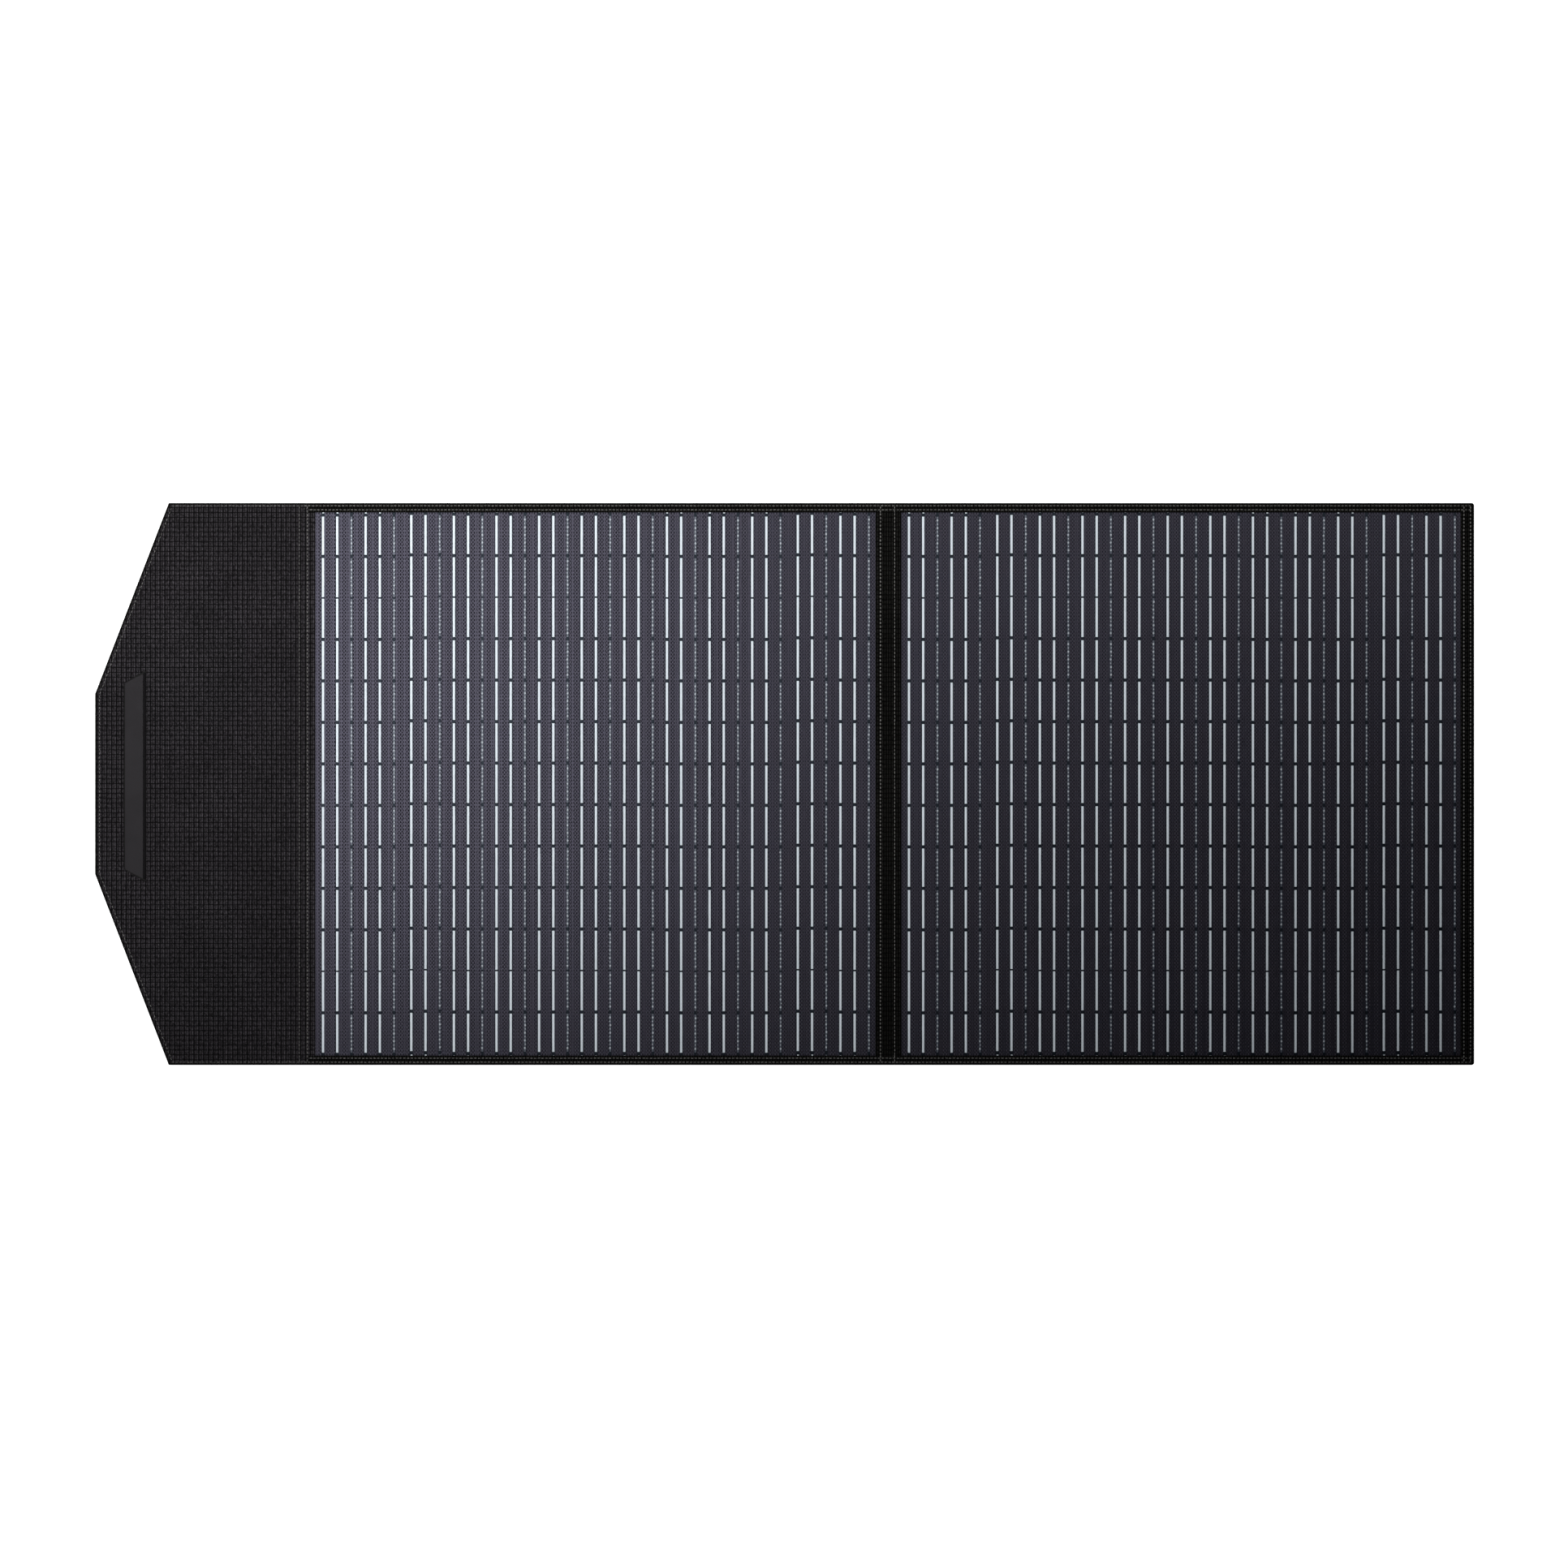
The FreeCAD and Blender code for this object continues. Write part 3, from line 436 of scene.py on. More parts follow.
# ---------------- mesh helpers
def add_object(name, mesh, material, sharp=35):
    obj = bpy.data.objects.new(name, mesh)
    scene.collection.objects.link(obj)
    mesh.materials.clear()
    mesh.materials.append(material)
    mesh.polygons.foreach_set("use_smooth", [True] * len(mesh.polygons))
    mesh.set_sharp_from_angle(angle=math.radians(sharp))
    return obj


def clean(mesh):
    """Welds doubled points and turns every face outwards."""
    work = bmesh.new()
    work.from_mesh(mesh)
    bmesh.ops.remove_doubles(work, verts=work.verts, dist=1e-6)
    bmesh.ops.recalc_face_normals(work, faces=work.faces)
    work.to_mesh(mesh)
    work.free()


def new_mesh(name, points, faces):
    mesh = bpy.data.meshes.new(name)
    mesh.from_pydata([tuple(p) for p in points], [], [tuple(f) for f in faces])
    return mesh


def make(name, points, faces, material, sharp=35):
    mesh = new_mesh(name, points, faces)
    mesh.validate()
    clean(mesh)
    return add_object(name, mesh, material, sharp)


def slab(name, outlines, low, high, edge, material, rounds=3):
    """A flat closed plate with rounded edges. outlines are the outer loop and then any holes, as (x, y)."""
    curve = bpy.data.curves.new(name, "CURVE")
    curve.dimensions = "2D"
    curve.fill_mode = "BOTH"
    for loop in outlines:
        spline = curve.splines.new("POLY")
        spline.points.add(len(loop) - 1)
        for point, (x, y) in zip(spline.points, loop):
            point.co = (x, y, 0, 1)
        spline.use_cyclic_u = True
    curve.extrude = (high - low) / 2 - edge
    curve.bevel_depth = edge
    curve.bevel_resolution = rounds
    curve.offset = -edge
    holder = bpy.data.objects.new(name, curve)
    mesh = bpy.data.meshes.new_from_object(holder)
    bpy.data.objects.remove(holder)
    bpy.data.curves.remove(curve)
    mesh.transform(Matrix.Translation((0, 0, (low + high) / 2)))
    clean(mesh)
    mesh.name = name
    obj = add_object(name, mesh, material)
    for face in mesh.polygons:
        # Level faces are shaded flat, so that the rounded edges don't tint them.
        face.use_smooth = abs(face.normal.z) <= 0.9995
    return obj


def bisect(work, place, normal, **kept):
    everything = work.verts[:] + work.edges[:] + work.faces[:]
    bmesh.ops.bisect_plane(
        work, geom=everything, dist=1e-7, plane_co=normal * place, plane_no=normal, **kept
    )


def cut_lines(obj, axis, places):
    """Adds edge loops across a mesh at these places along an axis, so that it can bend there."""
    work = bmesh.new()
    work.from_mesh(obj.data)
    for place in places:
        bisect(work, place, Vector(axis))
    work.to_mesh(obj.data)
    work.free()


def keep_part(obj, place, above):
    """Cuts a mesh at X = place and keeps one side."""
    work = bmesh.new()
    work.from_mesh(obj.data)
    bisect(work, place, Vector(ALONG_X), clear_inner=above, clear_outer=not above)
    rim = [edge for edge in work.edges if edge.is_boundary]
    bmesh.ops.holes_fill(work, edges=rim, sides=0)
    bmesh.ops.recalc_face_normals(work, faces=work.faces)
    work.to_mesh(obj.data)
    work.free()


def copy_of(obj, name):
    twin = bpy.data.objects.new(name, obj.data.copy())
    scene.collection.objects.link(twin)
    return twin


def corner_arcs(x0, x1, y0, y1, radius, steps):
    """The round corners of a rectangle, each a list of (x, y), from the one at high X and high Y."""
    near, far, low, high = x0 + radius, x1 - radius, y0 + radius, y1 - radius
    arcs = []
    for quarter, (x, y) in enumerate(((far, high), (near, high), (near, low), (far, low))):
        turns = [(quarter + k / steps) * math.pi / 2 for k in range(steps + 1)]
        arcs.append([(x + radius * math.cos(a), y + radius * math.sin(a)) for a in turns])
    return arcs


def round_box(x0, x1, y0, y1, radius, steps=6):
    """An (x, y) loop: a rectangle with round corners."""
    return [point for arc in corner_arcs(x0, x1, y0, y1, radius, steps) for point in arc]


def spread(low, high, step):
    """Evenly spaced numbers from low to high, no further apart than step."""
    return list(np.linspace(low, high, max(2, math.ceil(abs(high - low) / step) + 1)))


def skin(rings, first=False, last=False):
    """Points and faces of a tube over rings of equal length, closed at its first or last ring if asked."""
    count = len(rings[0])
    points = [point for ring in rings for point in ring]
    end = len(points) - count
    faces = []
    for r in range(0, end, count):
        for k in range(count):
            a, b = r + k, r + (k + 1) % count
            faces.append((a, b, b + count, a + count))
    if first:
        faces.append(tuple(range(count))[::-1])
    if last:
        faces.append(tuple(range(end, len(points))))
    return points, faces


def loft(name, rings, material, sharp=35):
    """A closed piece over rings of points."""
    return make(name, *skin(rings, True, True), material, sharp)


def repeat(name, template, places, material, sharp=50):
    """Copies one small mesh to many places. A place is (x, y, z, turn about Z, up or down)."""
    points, faces = template
    points = np.array(points, float)
    count = len(points)
    every_point, every_face = [], []
    for n, (x, y, z, turn, side) in enumerate(places):
        c, s = math.cos(turn), math.sin(turn)
        moved = np.empty_like(points)
        moved[:, 0] = x + points[:, 0] * c - points[:, 1] * s
        moved[:, 1] = y + points[:, 0] * s + points[:, 1] * c
        moved[:, 2] = z + points[:, 2] * side
        every_point.append(moved)
        order = 1 if side > 0 else -1
        every_face += [tuple(n * count + i for i in face[::order]) for face in faces]
    return add_object(name, new_mesh(name, np.vstack(every_point).tolist(), every_face), material, sharp)


def many(name, parts, material):
    """Joins small meshes, each (points, faces), in one piece."""
    points, faces = [], []
    for some, loops in parts:
        base = len(points)
        points += some
        faces += [tuple(base + i for i in loop) for loop in loops]
    return add_object(name, new_mesh(name, points, faces), material, 50)


def circle(radius, count):
    turns = [2 * math.pi * k / count for k in range(count)]
    return [(radius * math.cos(a), radius * math.sin(a)) for a in turns]


def fasten(piece, body, slot, *replaced):
    """Moves a piece with one body and hides the CAD nodes that it stands for. The slot is not used."""
    if replaced:
        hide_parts(*replaced)
    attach(piece, body)


# ---------------- cloth pieces, each fixed where it lies
def bend_flap(piece):
    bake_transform(piece)


def bend_margin(piece):
    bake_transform(piece)


def bend_centre(piece, reach=FOLD_REACH):
    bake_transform(piece)


# ---------------- stitches
def stitch_shape(wide=0.3, long=1.2):
    """One stitch lying along X: a short arched thread whose ends dive into the cloth."""
    tall = 0.29
    rings = []
    for along, height, size in (
        (-1.0, -0.30, 0.5),
        (-0.74, 0.02, 0.88),
        (0.0, 0.10, 1.0),
        (0.74, 0.02, 0.88),
        (1.0, -0.30, 0.5),
    ):
        ring = [(along * long, wide * y, height + tall * z) for y, z in circle(size, 6)]
        rings.append([(x * MM, y * MM, z * MM) for x, y, z in ring])
    return skin(rings, True, True)


def row(start, end, z, side=1):
    """Places for a straight row of stitches, with a little unevenness in each."""
    start, end = np.array(start, float), np.array(end, float)
    run = end - start
    count = max(1, int(float(np.linalg.norm(run)) // STITCH_PITCH))
    turn = math.atan2(run[1], run[0])
    places = []
    for k in range(count):
        x, y = start + run * (k + 0.5) / count
        wobble = rng.normal(0, 0.05 * MM, 2)
        places.append((x + wobble[0], y + wobble[1], z, turn + rng.normal(0, 0.04), side))
    return places


def rows(lines, z, side):
    """Places for several rows at one height; each line is (start, end)."""
    return [place for start, end in lines for place in row(start, end, z, side)]


def seam(name, places, body, slot):
    fasten(repeat(name, stitch_shape(), places, THREAD), body, slot)


# ---------------- flap, spine and margin
def flap_loop(root, inset=0.0):
    """The flap's outline out to X = root, moved in from every edge but the root."""
    run, rise = TAPER_X - FLAP_X, HALF_WIDTH - FLAP_END_HALF
    slant = math.hypot(run, rise)
    taper_x = TAPER_X + inset * (slant - run) / rise
    narrow_y = FLAP_END_HALF - inset * (slant - rise) / run
    half = HALF_WIDTH - inset
    left = [(taper_x, half), (FLAP_X + inset, narrow_y), (FLAP_X + inset, -narrow_y), (taper_x, -half)]
    return [(root, -half), (root, half)] + left


def slot_loop(inset=0.0, inner=SLOT_X):
    """The handle slot: the end corners are cut back towards the narrow end of the flap."""
    outer = -610.4 * MM + inset
    middle = 7.2 * MM
    short, long = 86.0 * MM - inset, 96.8 * MM - inset
    bend = min(-594.0 * MM, inner)
    step = 1.0 * MM
    return [
        (outer, middle - short),
        (bend, middle - long + step),
        (inner, middle - long),
        (inner, middle + long),
        (bend, middle + long - step),
        (outer, middle + short),
    ]


def build_flap():
    """Flap, spine and the margin beside the cells are one quilted cloth, cut at the middle of the spine."""
    outlines = [flap_loop(LEFT_WINDOW[0]), slot_loop()]
    flap = slab("flap_cloth", outlines, FLAP_BACK_Z, TOP, 0.9 * MM, FLAP_WEAVE, 4)
    cut_lines(flap, ALONG_X, spread(WRAP_X - 5 * MM, LIFT_X + 5 * MM, 0.6 * MM))
    margin = copy_of(flap, "margin_cloth")
    keep_part(flap, SPINE_X, False)
    keep_part(margin, SPINE_X, True)
    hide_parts("flap_front_skin", "flap_back_skin", "spine_skins")
    bend_flap(flap)
    bend_margin(margin)
    piping = build_shade_piping()


def piping_ring(section, station):
    """One section of the flap's bound edge; station runs from 0 to 5 round the outline's corners."""
    ring = []
    for inset, z in section:
        loop = flap_loop(SPINE_X, inset)
        path = loop[1:] + loop[:1]
        k = min(int(station), 4)
        t = station - k
        (ax, ay), (bx, by) = path[k], path[k + 1]
        ring.append((ax + (bx - ax) * t, ay + (by - ay) * t, z))
    return ring


def build_shade_piping():
    """Narrow bound edge of the dark hem cloth all round the flap and along the margin; its darkness also
    stands as painted shade for the shade where the flap's edge rounds away.
    """
    front = [(1.6, -0.1), (1.4, 0.08), (0.6, 0.1), (0.12, -0.25), (-PROUD / MM, -0.8)]
    section = [(inset * MM, TOP + z * MM) for inset, z in front]
    section += [(inset * MM, FLAP_BACK_Z - z * MM) for inset, z in reversed(front)]
    section += [(0.5 * MM, FLAP_BACK_Z + 1.0 * MM), (0.5 * MM, TOP - 1.0 * MM)]
    fold = spread(WRAP_X - 5 * MM, SPINE_X, 0.8 * MM)
    shares = [(x - TAPER_X) / (SPINE_X - TAPER_X) for x in fold]
    stations = [1 - share for share in reversed(shares)]
    stations += [1 + k / 14 for k in range(15)] + [2 + k / 10 for k in range(1, 11)]
    stations += [3 + k / 14 for k in range(1, 15)] + [4 + share for share in shares]
    # painted shade: the edge is made of the black hem cloth so that it shows as the dark line of shade along
    # the flap's rim
    piping = loft("flap_shade_piping", [piping_ring(section, s) for s in stations], DARK_WEAVE, 50)
    bend_flap(piping)
    made = [piping]
    # painted shade: the margin's edges get the same dark strip
    for name, s in (("margin_shade_piping_upper", 1), ("margin_shade_piping_lower", -1)):
        xs = spread(SPINE_X, LIFT_X + 5 * MM, 0.8 * MM) + [BINDING_START + 1 * MM]
        rings = [[(x, s * (HALF_WIDTH - inset), z) for inset, z in section] for x in xs]
        edge = loft(name, rings, DARK_WEAVE, 50)
        bend_margin(edge)
        made.append(edge)
    return made


def build_handle():
    """Rubber strap behind the flap and its raised face in the slot. The strap's rubber is coloured darker
    than the face's as painted shade, so the gap beside the face shows as shadow.
    """
    low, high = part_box("carry_handle")
    gap = 2.6 * MM
    strap_loop = round_box(low.x, high.x, low.y, high.y, 5 * MM)
    # painted shade: the strap's dark rubber shows through the gap beside the face as shadow
    strap = slab("handle_strap", [strap_loop], low.z, FLAP_BACK_Z, 0.7 * MM, SHADED_STRAP_RUBBER)
    face_loop = slot_loop(0.25 * MM, SLOT_X - gap)
    face = slab("handle_face", [face_loop], FLAP_BACK_Z - 0.3 * MM, high.z, 0.55 * MM, HANDLE)
    fasten(strap, "flap", "handle")
    fasten(face, "flap", "handle", "carry_handle")


def build_rivets():
    """Domed rivet heads on the handle's two steel plates."""
    low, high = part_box("handle_plates")
    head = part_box("handle_rivets")[0].z
    middle_x = (low.x + high.x) / 2
    dome = ((0.0, 3.4), (-0.35, 3.3), (-0.62, 2.6), (-0.78, 1.4), (-0.8, 0.3))
    rings = [[(x * MM, y * MM, level * MM) for x, y in circle(radius, 20)] for level, radius in dome]
    points, faces = skin(rings, last=True)
    edge = 8.5 * MM
    places = [
        (middle_x + dx, y, head + 0.8 * MM, 0, 1)
        for dx in (-7.0 * MM, 7.0 * MM)
        for y in (low.y + edge, high.y - edge)
    ]
    rivets = repeat("rivet_heads", (points, [face[::-1] for face in faces]), places, STEEL, 40)
    fasten(rivets, "flap", "steel")


# ---------------- binding, border, gusset and back cloth
def binding_profile():
    """Section of the folded edge binding, as (distance in from the edge, height)."""
    top, low = BINDING_TOP, COVER_Z - 0.15 * MM
    outer = [(HEM, FILM_Z + 0.05 * MM), (HEM, top - 0.35 * MM), (HEM - 0.3 * MM, top)]
    for groove in (INNER_ROW, OUTER_ROW):
        for off, z in ((0.9, 0.04), (0.35, -0.22), (-0.35, -0.22), (-0.9, 0.04)):
            outer.append((groove + off * MM, top + z * MM))
    radius = 1.3 * MM
    turns = [math.pi / 2 * k / 5 for k in range(1, 6)]
    outer += [(radius * (1 - math.sin(a)) - PROUD, top - radius * (1 - math.cos(a))) for a in turns]
    outer += [(radius * (1 - math.cos(a)) - PROUD, low + radius * (1 - math.sin(a))) for a in turns]
    outer += [(OUTER_ROW, low + 0.15 * MM), (INNER_ROW, low + 0.12 * MM)]
    outer += [(HEM, low), (HEM + 0.2 * MM, low + 0.4 * MM)]
    inner = [(HEM, low + 0.8 * MM), (1.2 * MM, low + 0.9 * MM), (0.9 * MM, low + 1.4 * MM)]
    inner += [(0.9 * MM, FILM_Z - 0.6 * MM), (1.3 * MM, FILM_Z - 0.1 * MM)]
    return outer + inner


def edge_stations():
    """Places round the binding, each a function from the distance in to an (x, y) point."""
    radius = 2.2 * MM
    fold = spread(CENTRE_X - 12 * MM, CENTRE_X + 12 * MM, 0.8 * MM)
    before = spread(BINDING_START, CENTRE_X - 12 * MM, 18 * MM)[:-1]
    after = spread(CENTRE_X + 12 * MM, END_X - radius, 18 * MM)[1:]
    along = before + fold + after

    def corner(side, angle):
        def point(d):
            if d >= radius:
                return END_X - d, side * (HALF_WIDTH - d)
            reach = radius - d
            x = END_X - radius + reach * math.cos(angle)
            return x, side * (HALF_WIDTH - radius + reach * math.sin(angle))

        return point

    turns = [math.pi / 2 * k / 6 for k in range(6)]
    stations = [lambda d, x=x: (x, HALF_WIDTH - d) for x in along]
    stations += [corner(1, a) for a in reversed(turns)]
    for y in spread(HALF_WIDTH - radius, radius - HALF_WIDTH, 18 * MM)[1:-1]:
        stations.append(lambda d, y=y: (END_X - d, y))
    stations += [corner(-1, a) for a in turns]
    stations += [lambda d, x=x: (x, d - HALF_WIDTH) for x in reversed(along)]
    return stations


def build_binding():
    """Folded cloth strip round the three outer sides of the panels."""
    profile = binding_profile()
    rings = [[(*station(d), z) for d, z in profile] for station in edge_stations()]
    binding = loft("edge_binding", rings, DARK_WEAVE)
    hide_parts("left_edge_hem", "right_edge_hem")
    bend_centre(binding)


def sheet_grid(name, xs, reach, height, thick, material):
    """A closed cloth sheet from -reach to reach in Y, its upper face at height(x, y)."""
    ys = spread(-reach, reach, 12 * MM)
    points = [(x, y, height(x, y) - drop) for drop in (0, thick) for x in xs for y in ys]
    count, cols = len(xs), len(ys)
    lower = count * cols
    faces = []
    for i in range(count - 1):
        for j in range(cols - 1):
            a = i * cols + j
            quad = (a, a + cols, a + cols + 1, a + 1)
            faces += [quad, tuple(lower + k for k in quad[::-1])]
    rim = [i * cols for i in range(count)] + [(count - 1) * cols + j for j in range(1, cols)]
    rim += [i * cols + cols - 1 for i in range(count - 2, -1, -1)] + [j for j in range(cols - 2, 0, -1)]
    for a, b in zip(rim, rim[1:] + rim[:1]):
        faces.append((a, b, lower + b, lower + a))
    return make(name, points, faces, material)


def build_end_border():
    """Wide hem across the free end, over the binding's inner edge."""
    xs = spread(RIGHT_WINDOW[1], END_X - 2.2 * MM, 0.9 * MM)
    reach = HALF_WIDTH - 2.2 * MM

    def height(x, y):
        lift = 0.12 * MM
        for groove in BORDER_ROWS:
            lift -= 0.16 * MM * math.exp(-(((x - groove) / (0.7 * MM)) ** 2))
        return BINDING_TOP - 0.1 * MM + lift

    border = sheet_grid("end_border", xs, reach, height, 0.7 * MM, DARK_WEAVE)
    fasten(border, "panel_right", "cover_fabric")


def build_gusset():
    """Cloth between the panels, sewn along both sides and slightly hollow on the fold line."""
    reach = HALF_WIDTH - HEM + 1.5 * MM
    xs = spread(LEFT_WINDOW[1], RIGHT_WINDOW[0], 0.7 * MM)
    half = (RIGHT_WINDOW[0] - LEFT_WINDOW[1]) / 2

    def height(x, y):
        off = (x - CENTRE_X) / half
        sag = 0.35 * MM * math.exp(-((off * 6) ** 2))
        edge = 0.25 * MM * max(0.0, abs(off) * 12 - 11)
        ripple = 0.07 * MM * math.sin(y / (23 * MM)) * math.cos(off * 5)
        return TOP - sag - edge + ripple

    gusset = sheet_grid("centre_gusset", xs, reach, height, 0.6 * MM, DARK_WEAVE)
    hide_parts("left_gusset", "right_gusset")
    bend_centre(gusset)


def build_back():
    """Back cloth in one sheet over both panels, drawn tight over the boards."""
    reach = HALF_WIDTH - 1.5 * MM
    near, far = CENTRE_X - 14 * MM, CENTRE_X + 14 * MM
    xs = spread(LIFT_X + 1 * MM, near, 12 * MM)[:-1] + spread(near, far, 0.9 * MM)
    xs += spread(far, END_X - 1.5 * MM, 12 * MM)[1:]

    def height(x, y):
        soft = 0.10 * MM * math.sin(x / (61 * MM) + y / (97 * MM)) + 0.06 * MM * math.sin(y / (37 * MM))
        return COVER_Z + 0.7 * MM + max(0.0, soft)

    back = sheet_grid("back_cloth", xs, reach, height, 0.7 * MM, BACK_WEAVE)
    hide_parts("left_back_cover", "right_back_cover")
    bend_centre(back, 6 * MM)


# ---------------- film and ribbons
ROW_PITCH = 38.34 * MM
ROWS = 13
ROWS_MIDDLE = -0.6 * MM
BAR_PITCH = 13.125 * MM
BLOCK_STEP = 15.95 * MM
BLOCKS = (6, 27, 6)
FIRST_BAR = 7.05 * MM
WIDE_HALF = 1.08 * MM
NARROW_HALF = 0.95 * MM
CLEAR_HALF = 1.95 * MM
NARROW_CLEAR_HALF = 1.5 * MM
TOP_STUB = 8.8 * MM
LOW_STUB = 7.3 * MM
STUB_REACH = 0.7 * MM
STUB_HALF = 0.85 * MM
WIDE_GAP = 3.0 * MM
THIN_GAP = 1.45 * MM
THIN_GAPS = (2, 11)
SHIFTS = ((3, 1.5 * MM), (18, 0.75 * MM))
DOTS = 5


def row_shift(block, k):
    """How far up the rows of cells lie at a ribbon: the later blocks start high and step down to level."""
    for count, shift in SHIFTS:
        if block and k < count:
            return shift
    return 0.0


def bar_places(window):
    """(X, place in the pattern, shift of the rows there) of each ribbon."""
    x = window[0] + FIRST_BAR
    found = []
    for index, block in enumerate(BLOCKS):
        for k in range(block):
            found.append((x, len(found), row_shift(index, k)))
            x += BAR_PITCH
        x += BLOCK_STEP - BAR_PITCH
    return found


def bar_runs():
    """The lengths of ribbon between the gaps, from the top row of cells down."""
    top = ROWS_MIDDLE + ROWS * ROW_PITCH / 2
    edges = []
    for k in range(ROWS + 1):
        width = THIN_GAP if k in THIN_GAPS else WIDE_GAP
        edges.append((top - k * ROW_PITCH - width / 2, top - k * ROW_PITCH + width / 2))
    return [(lower[1], upper[0]) for upper, lower in zip(edges, edges[1:])]


def flat_bar(x, y0, y1, half, z0, z1):
    """A ribbon with its upper edges eased."""
    ease = min(0.25 * MM, half * 0.4)
    rings = []
    for inset, z in ((0, z0), (0, z1 - 0.05 * MM), (ease, z1)):
        h, low, high = half - inset, y0 + inset, y1 - inset
        rings.append([(x - h, low, z), (x + h, low, z), (x + h, high, z), (x - h, high, z)])
    return skin(rings, last=True)


def dot_shape(size=1.0):
    """A small oval solder dot."""
    sides = 10
    points = [(0, 0, 0.10 * MM)]
    for radius, level in ((0.6, 0.08), (1.0, 0.0)):
        points += [(0.82 * x * MM, y * MM, level * MM) for x, y in circle(size * radius, sides)]
    faces = []
    for k in range(sides):
        b = (k + 1) % sides
        faces += [(0, 1 + k, 1 + b), (1 + k, 1 + sides + k, 1 + sides + b, 1 + b)]
    return points, faces


def build_panel(side, window):
    """One panel's film, its ribbons and the clear strips round them."""
    body = "panel_" + side
    z0, z1 = FILM_Z - 0.2 * MM, FILM_Z + 0.05 * MM
    thin_z = z1 - 0.02 * MM
    reach = HALF_WIDTH - HEM + 0.5 * MM
    low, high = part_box(side + "_front_film")
    outline = round_box(low.x, high.x, low.y, high.y, 2 * MM)
    film = slab(side + "_film", [outline], low.z, high.z, 0.12 * MM, FILM, 1)
    fasten(film, body, "film", side + "_front_film")
    wide, thin, clear, dots, specks = [], [], [], [], []
    for x, k, shift in bar_places(window):
        narrow = k % 3 == 2
        clear_half = NARROW_CLEAR_HALF if narrow else CLEAR_HALF
        clear.append(flat_bar(x, -reach, reach, clear_half, z0, FILM_Z + 0.01 * MM))
        low_stub = shift + LOW_STUB - HALF_WIDTH
        if narrow:
            thin.append(flat_bar(x, low_stub - STUB_REACH, low_stub + STUB_REACH, NARROW_HALF, z0, thin_z))
        else:
            for y in (shift + HALF_WIDTH - TOP_STUB, low_stub):
                wide.append(flat_bar(x + 0.2 * MM, y - STUB_REACH, y + STUB_REACH, STUB_HALF, z0, z1))
        for y0, y1 in bar_runs():
            y0, y1 = y0 + shift, y1 + shift
            if not narrow:
                wide.append(flat_bar(x, y0, y1, WIDE_HALF, z0, z1))
                continue
            thin.append(flat_bar(x, y0, y1, NARROW_HALF, z0, thin_z))
            step = (y1 - y0) / DOTS
            for n in range(DOTS):
                y = y0 + step * (n + 0.5)
                dots.append((x + rng.normal(0, 0.1 * MM), y, thin_z, 0, 1))
                if n:
                    specks.append((x + rng.normal(0, 0.2 * MM), y - step / 2, thin_z, 0, 1))
    bars = many(side + "_wide_ribbons", wide, RIBBON)
    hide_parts(side + "_ribbons")
    for piece in (
        bars,
        many(side + "_narrow_ribbons", thin, DOTTED),
        repeat(side + "_ribbon_dots", dot_shape(), dots, SOLDER),
        repeat(side + "_ribbon_specks", dot_shape(0.62), specks, SOLDER),
    ):
        fasten(piece, body, "ribbon")
    fasten(many(side + "_ribbon_edges", clear, CLEAR_EDGE), body, "film")


# ---------------- stitching through the blanket
def region(x):
    """Which cloth a place on the front or back is on."""
    if x < SPINE_X:
        return "flap"
    if x < LIFT_X + 4 * MM:
        return "spine"
    return "panels"


def all_rows():
    """Rows of stitches through front and back, sorted by the cloth that they are sewn through."""
    sewn = {}

    def sew(start, end, front, back, kind="fine"):
        for z, side in ((front, 1), (back, -1)):
            for place in row(start, end, z, side):
                sewn.setdefault((region(place[0]), kind), []).append(place)

    back = COVER_Z - 0.02 * MM
    flap = (TOP + 0.02 * MM, FLAP_BACK_Z - 0.02 * MM)
    panel = (BINDING_TOP - 0.1 * MM, back)
    wall = HALF_WIDTH
    end = END_X - 2 * MM
    _, _, a, b, c, d = flap_loop(0, FLAP_ROW_INSET)
    sew(b, c, *flap)
    for s, first, second in ((1, a, b), (-1, d, c)):
        outer, inner = s * (wall - OUTER_ROW), s * (wall - INNER_ROW)
        sew((TAPER_X + 2 * MM, outer), (BINDING_START, outer), *flap)
        sew((BINDING_START, outer), (end, outer), *panel)
        sew((BINDING_START + 1.5 * MM, inner), (end, inner), *panel)
        sew(first, second, *flap)
    for x in (LIFT_X, BINDING_START):
        sew((x, OUTER_ROW - wall), (x, wall - OUTER_ROW), *flap)
    for x, kind in ((LEFT_WINDOW[1] + 4.7 * MM, "bold"), (RIGHT_WINDOW[0] - 6.2 * MM, "fine")):
        sew((x, HEM - wall), (x, wall - HEM), TOP + 0.1 * MM, back, kind)
        for s in (1, -1):
            sew((x, s * (wall - 9.4 * MM)), (x, s * (wall - OUTER_ROW)), *panel, kind)
    for x in BORDER_ROWS:
        sew((x, OUTER_ROW - wall), (x, wall - OUTER_ROW), TOP + 0.2 * MM, back, "bold")
    return sewn


def build_stitches():
    """One piece of stitches for each cloth and kind, placed as its cloth is."""
    bends = {"flap": bend_flap, "spine": bend_margin, "panels": bend_centre}
    for (cloth, kind), places in all_rows().items():
        shape = stitch_shape()
        material = THREAD if cloth == "panels" else THREAD_DIM
        if kind == "bold":
            shape = stitch_shape(0.62, 1.0)
            material = THREAD_BOLD
        piece = repeat("stitches_" + cloth + "_" + kind, shape, places, material)
        bends[cloth](piece)


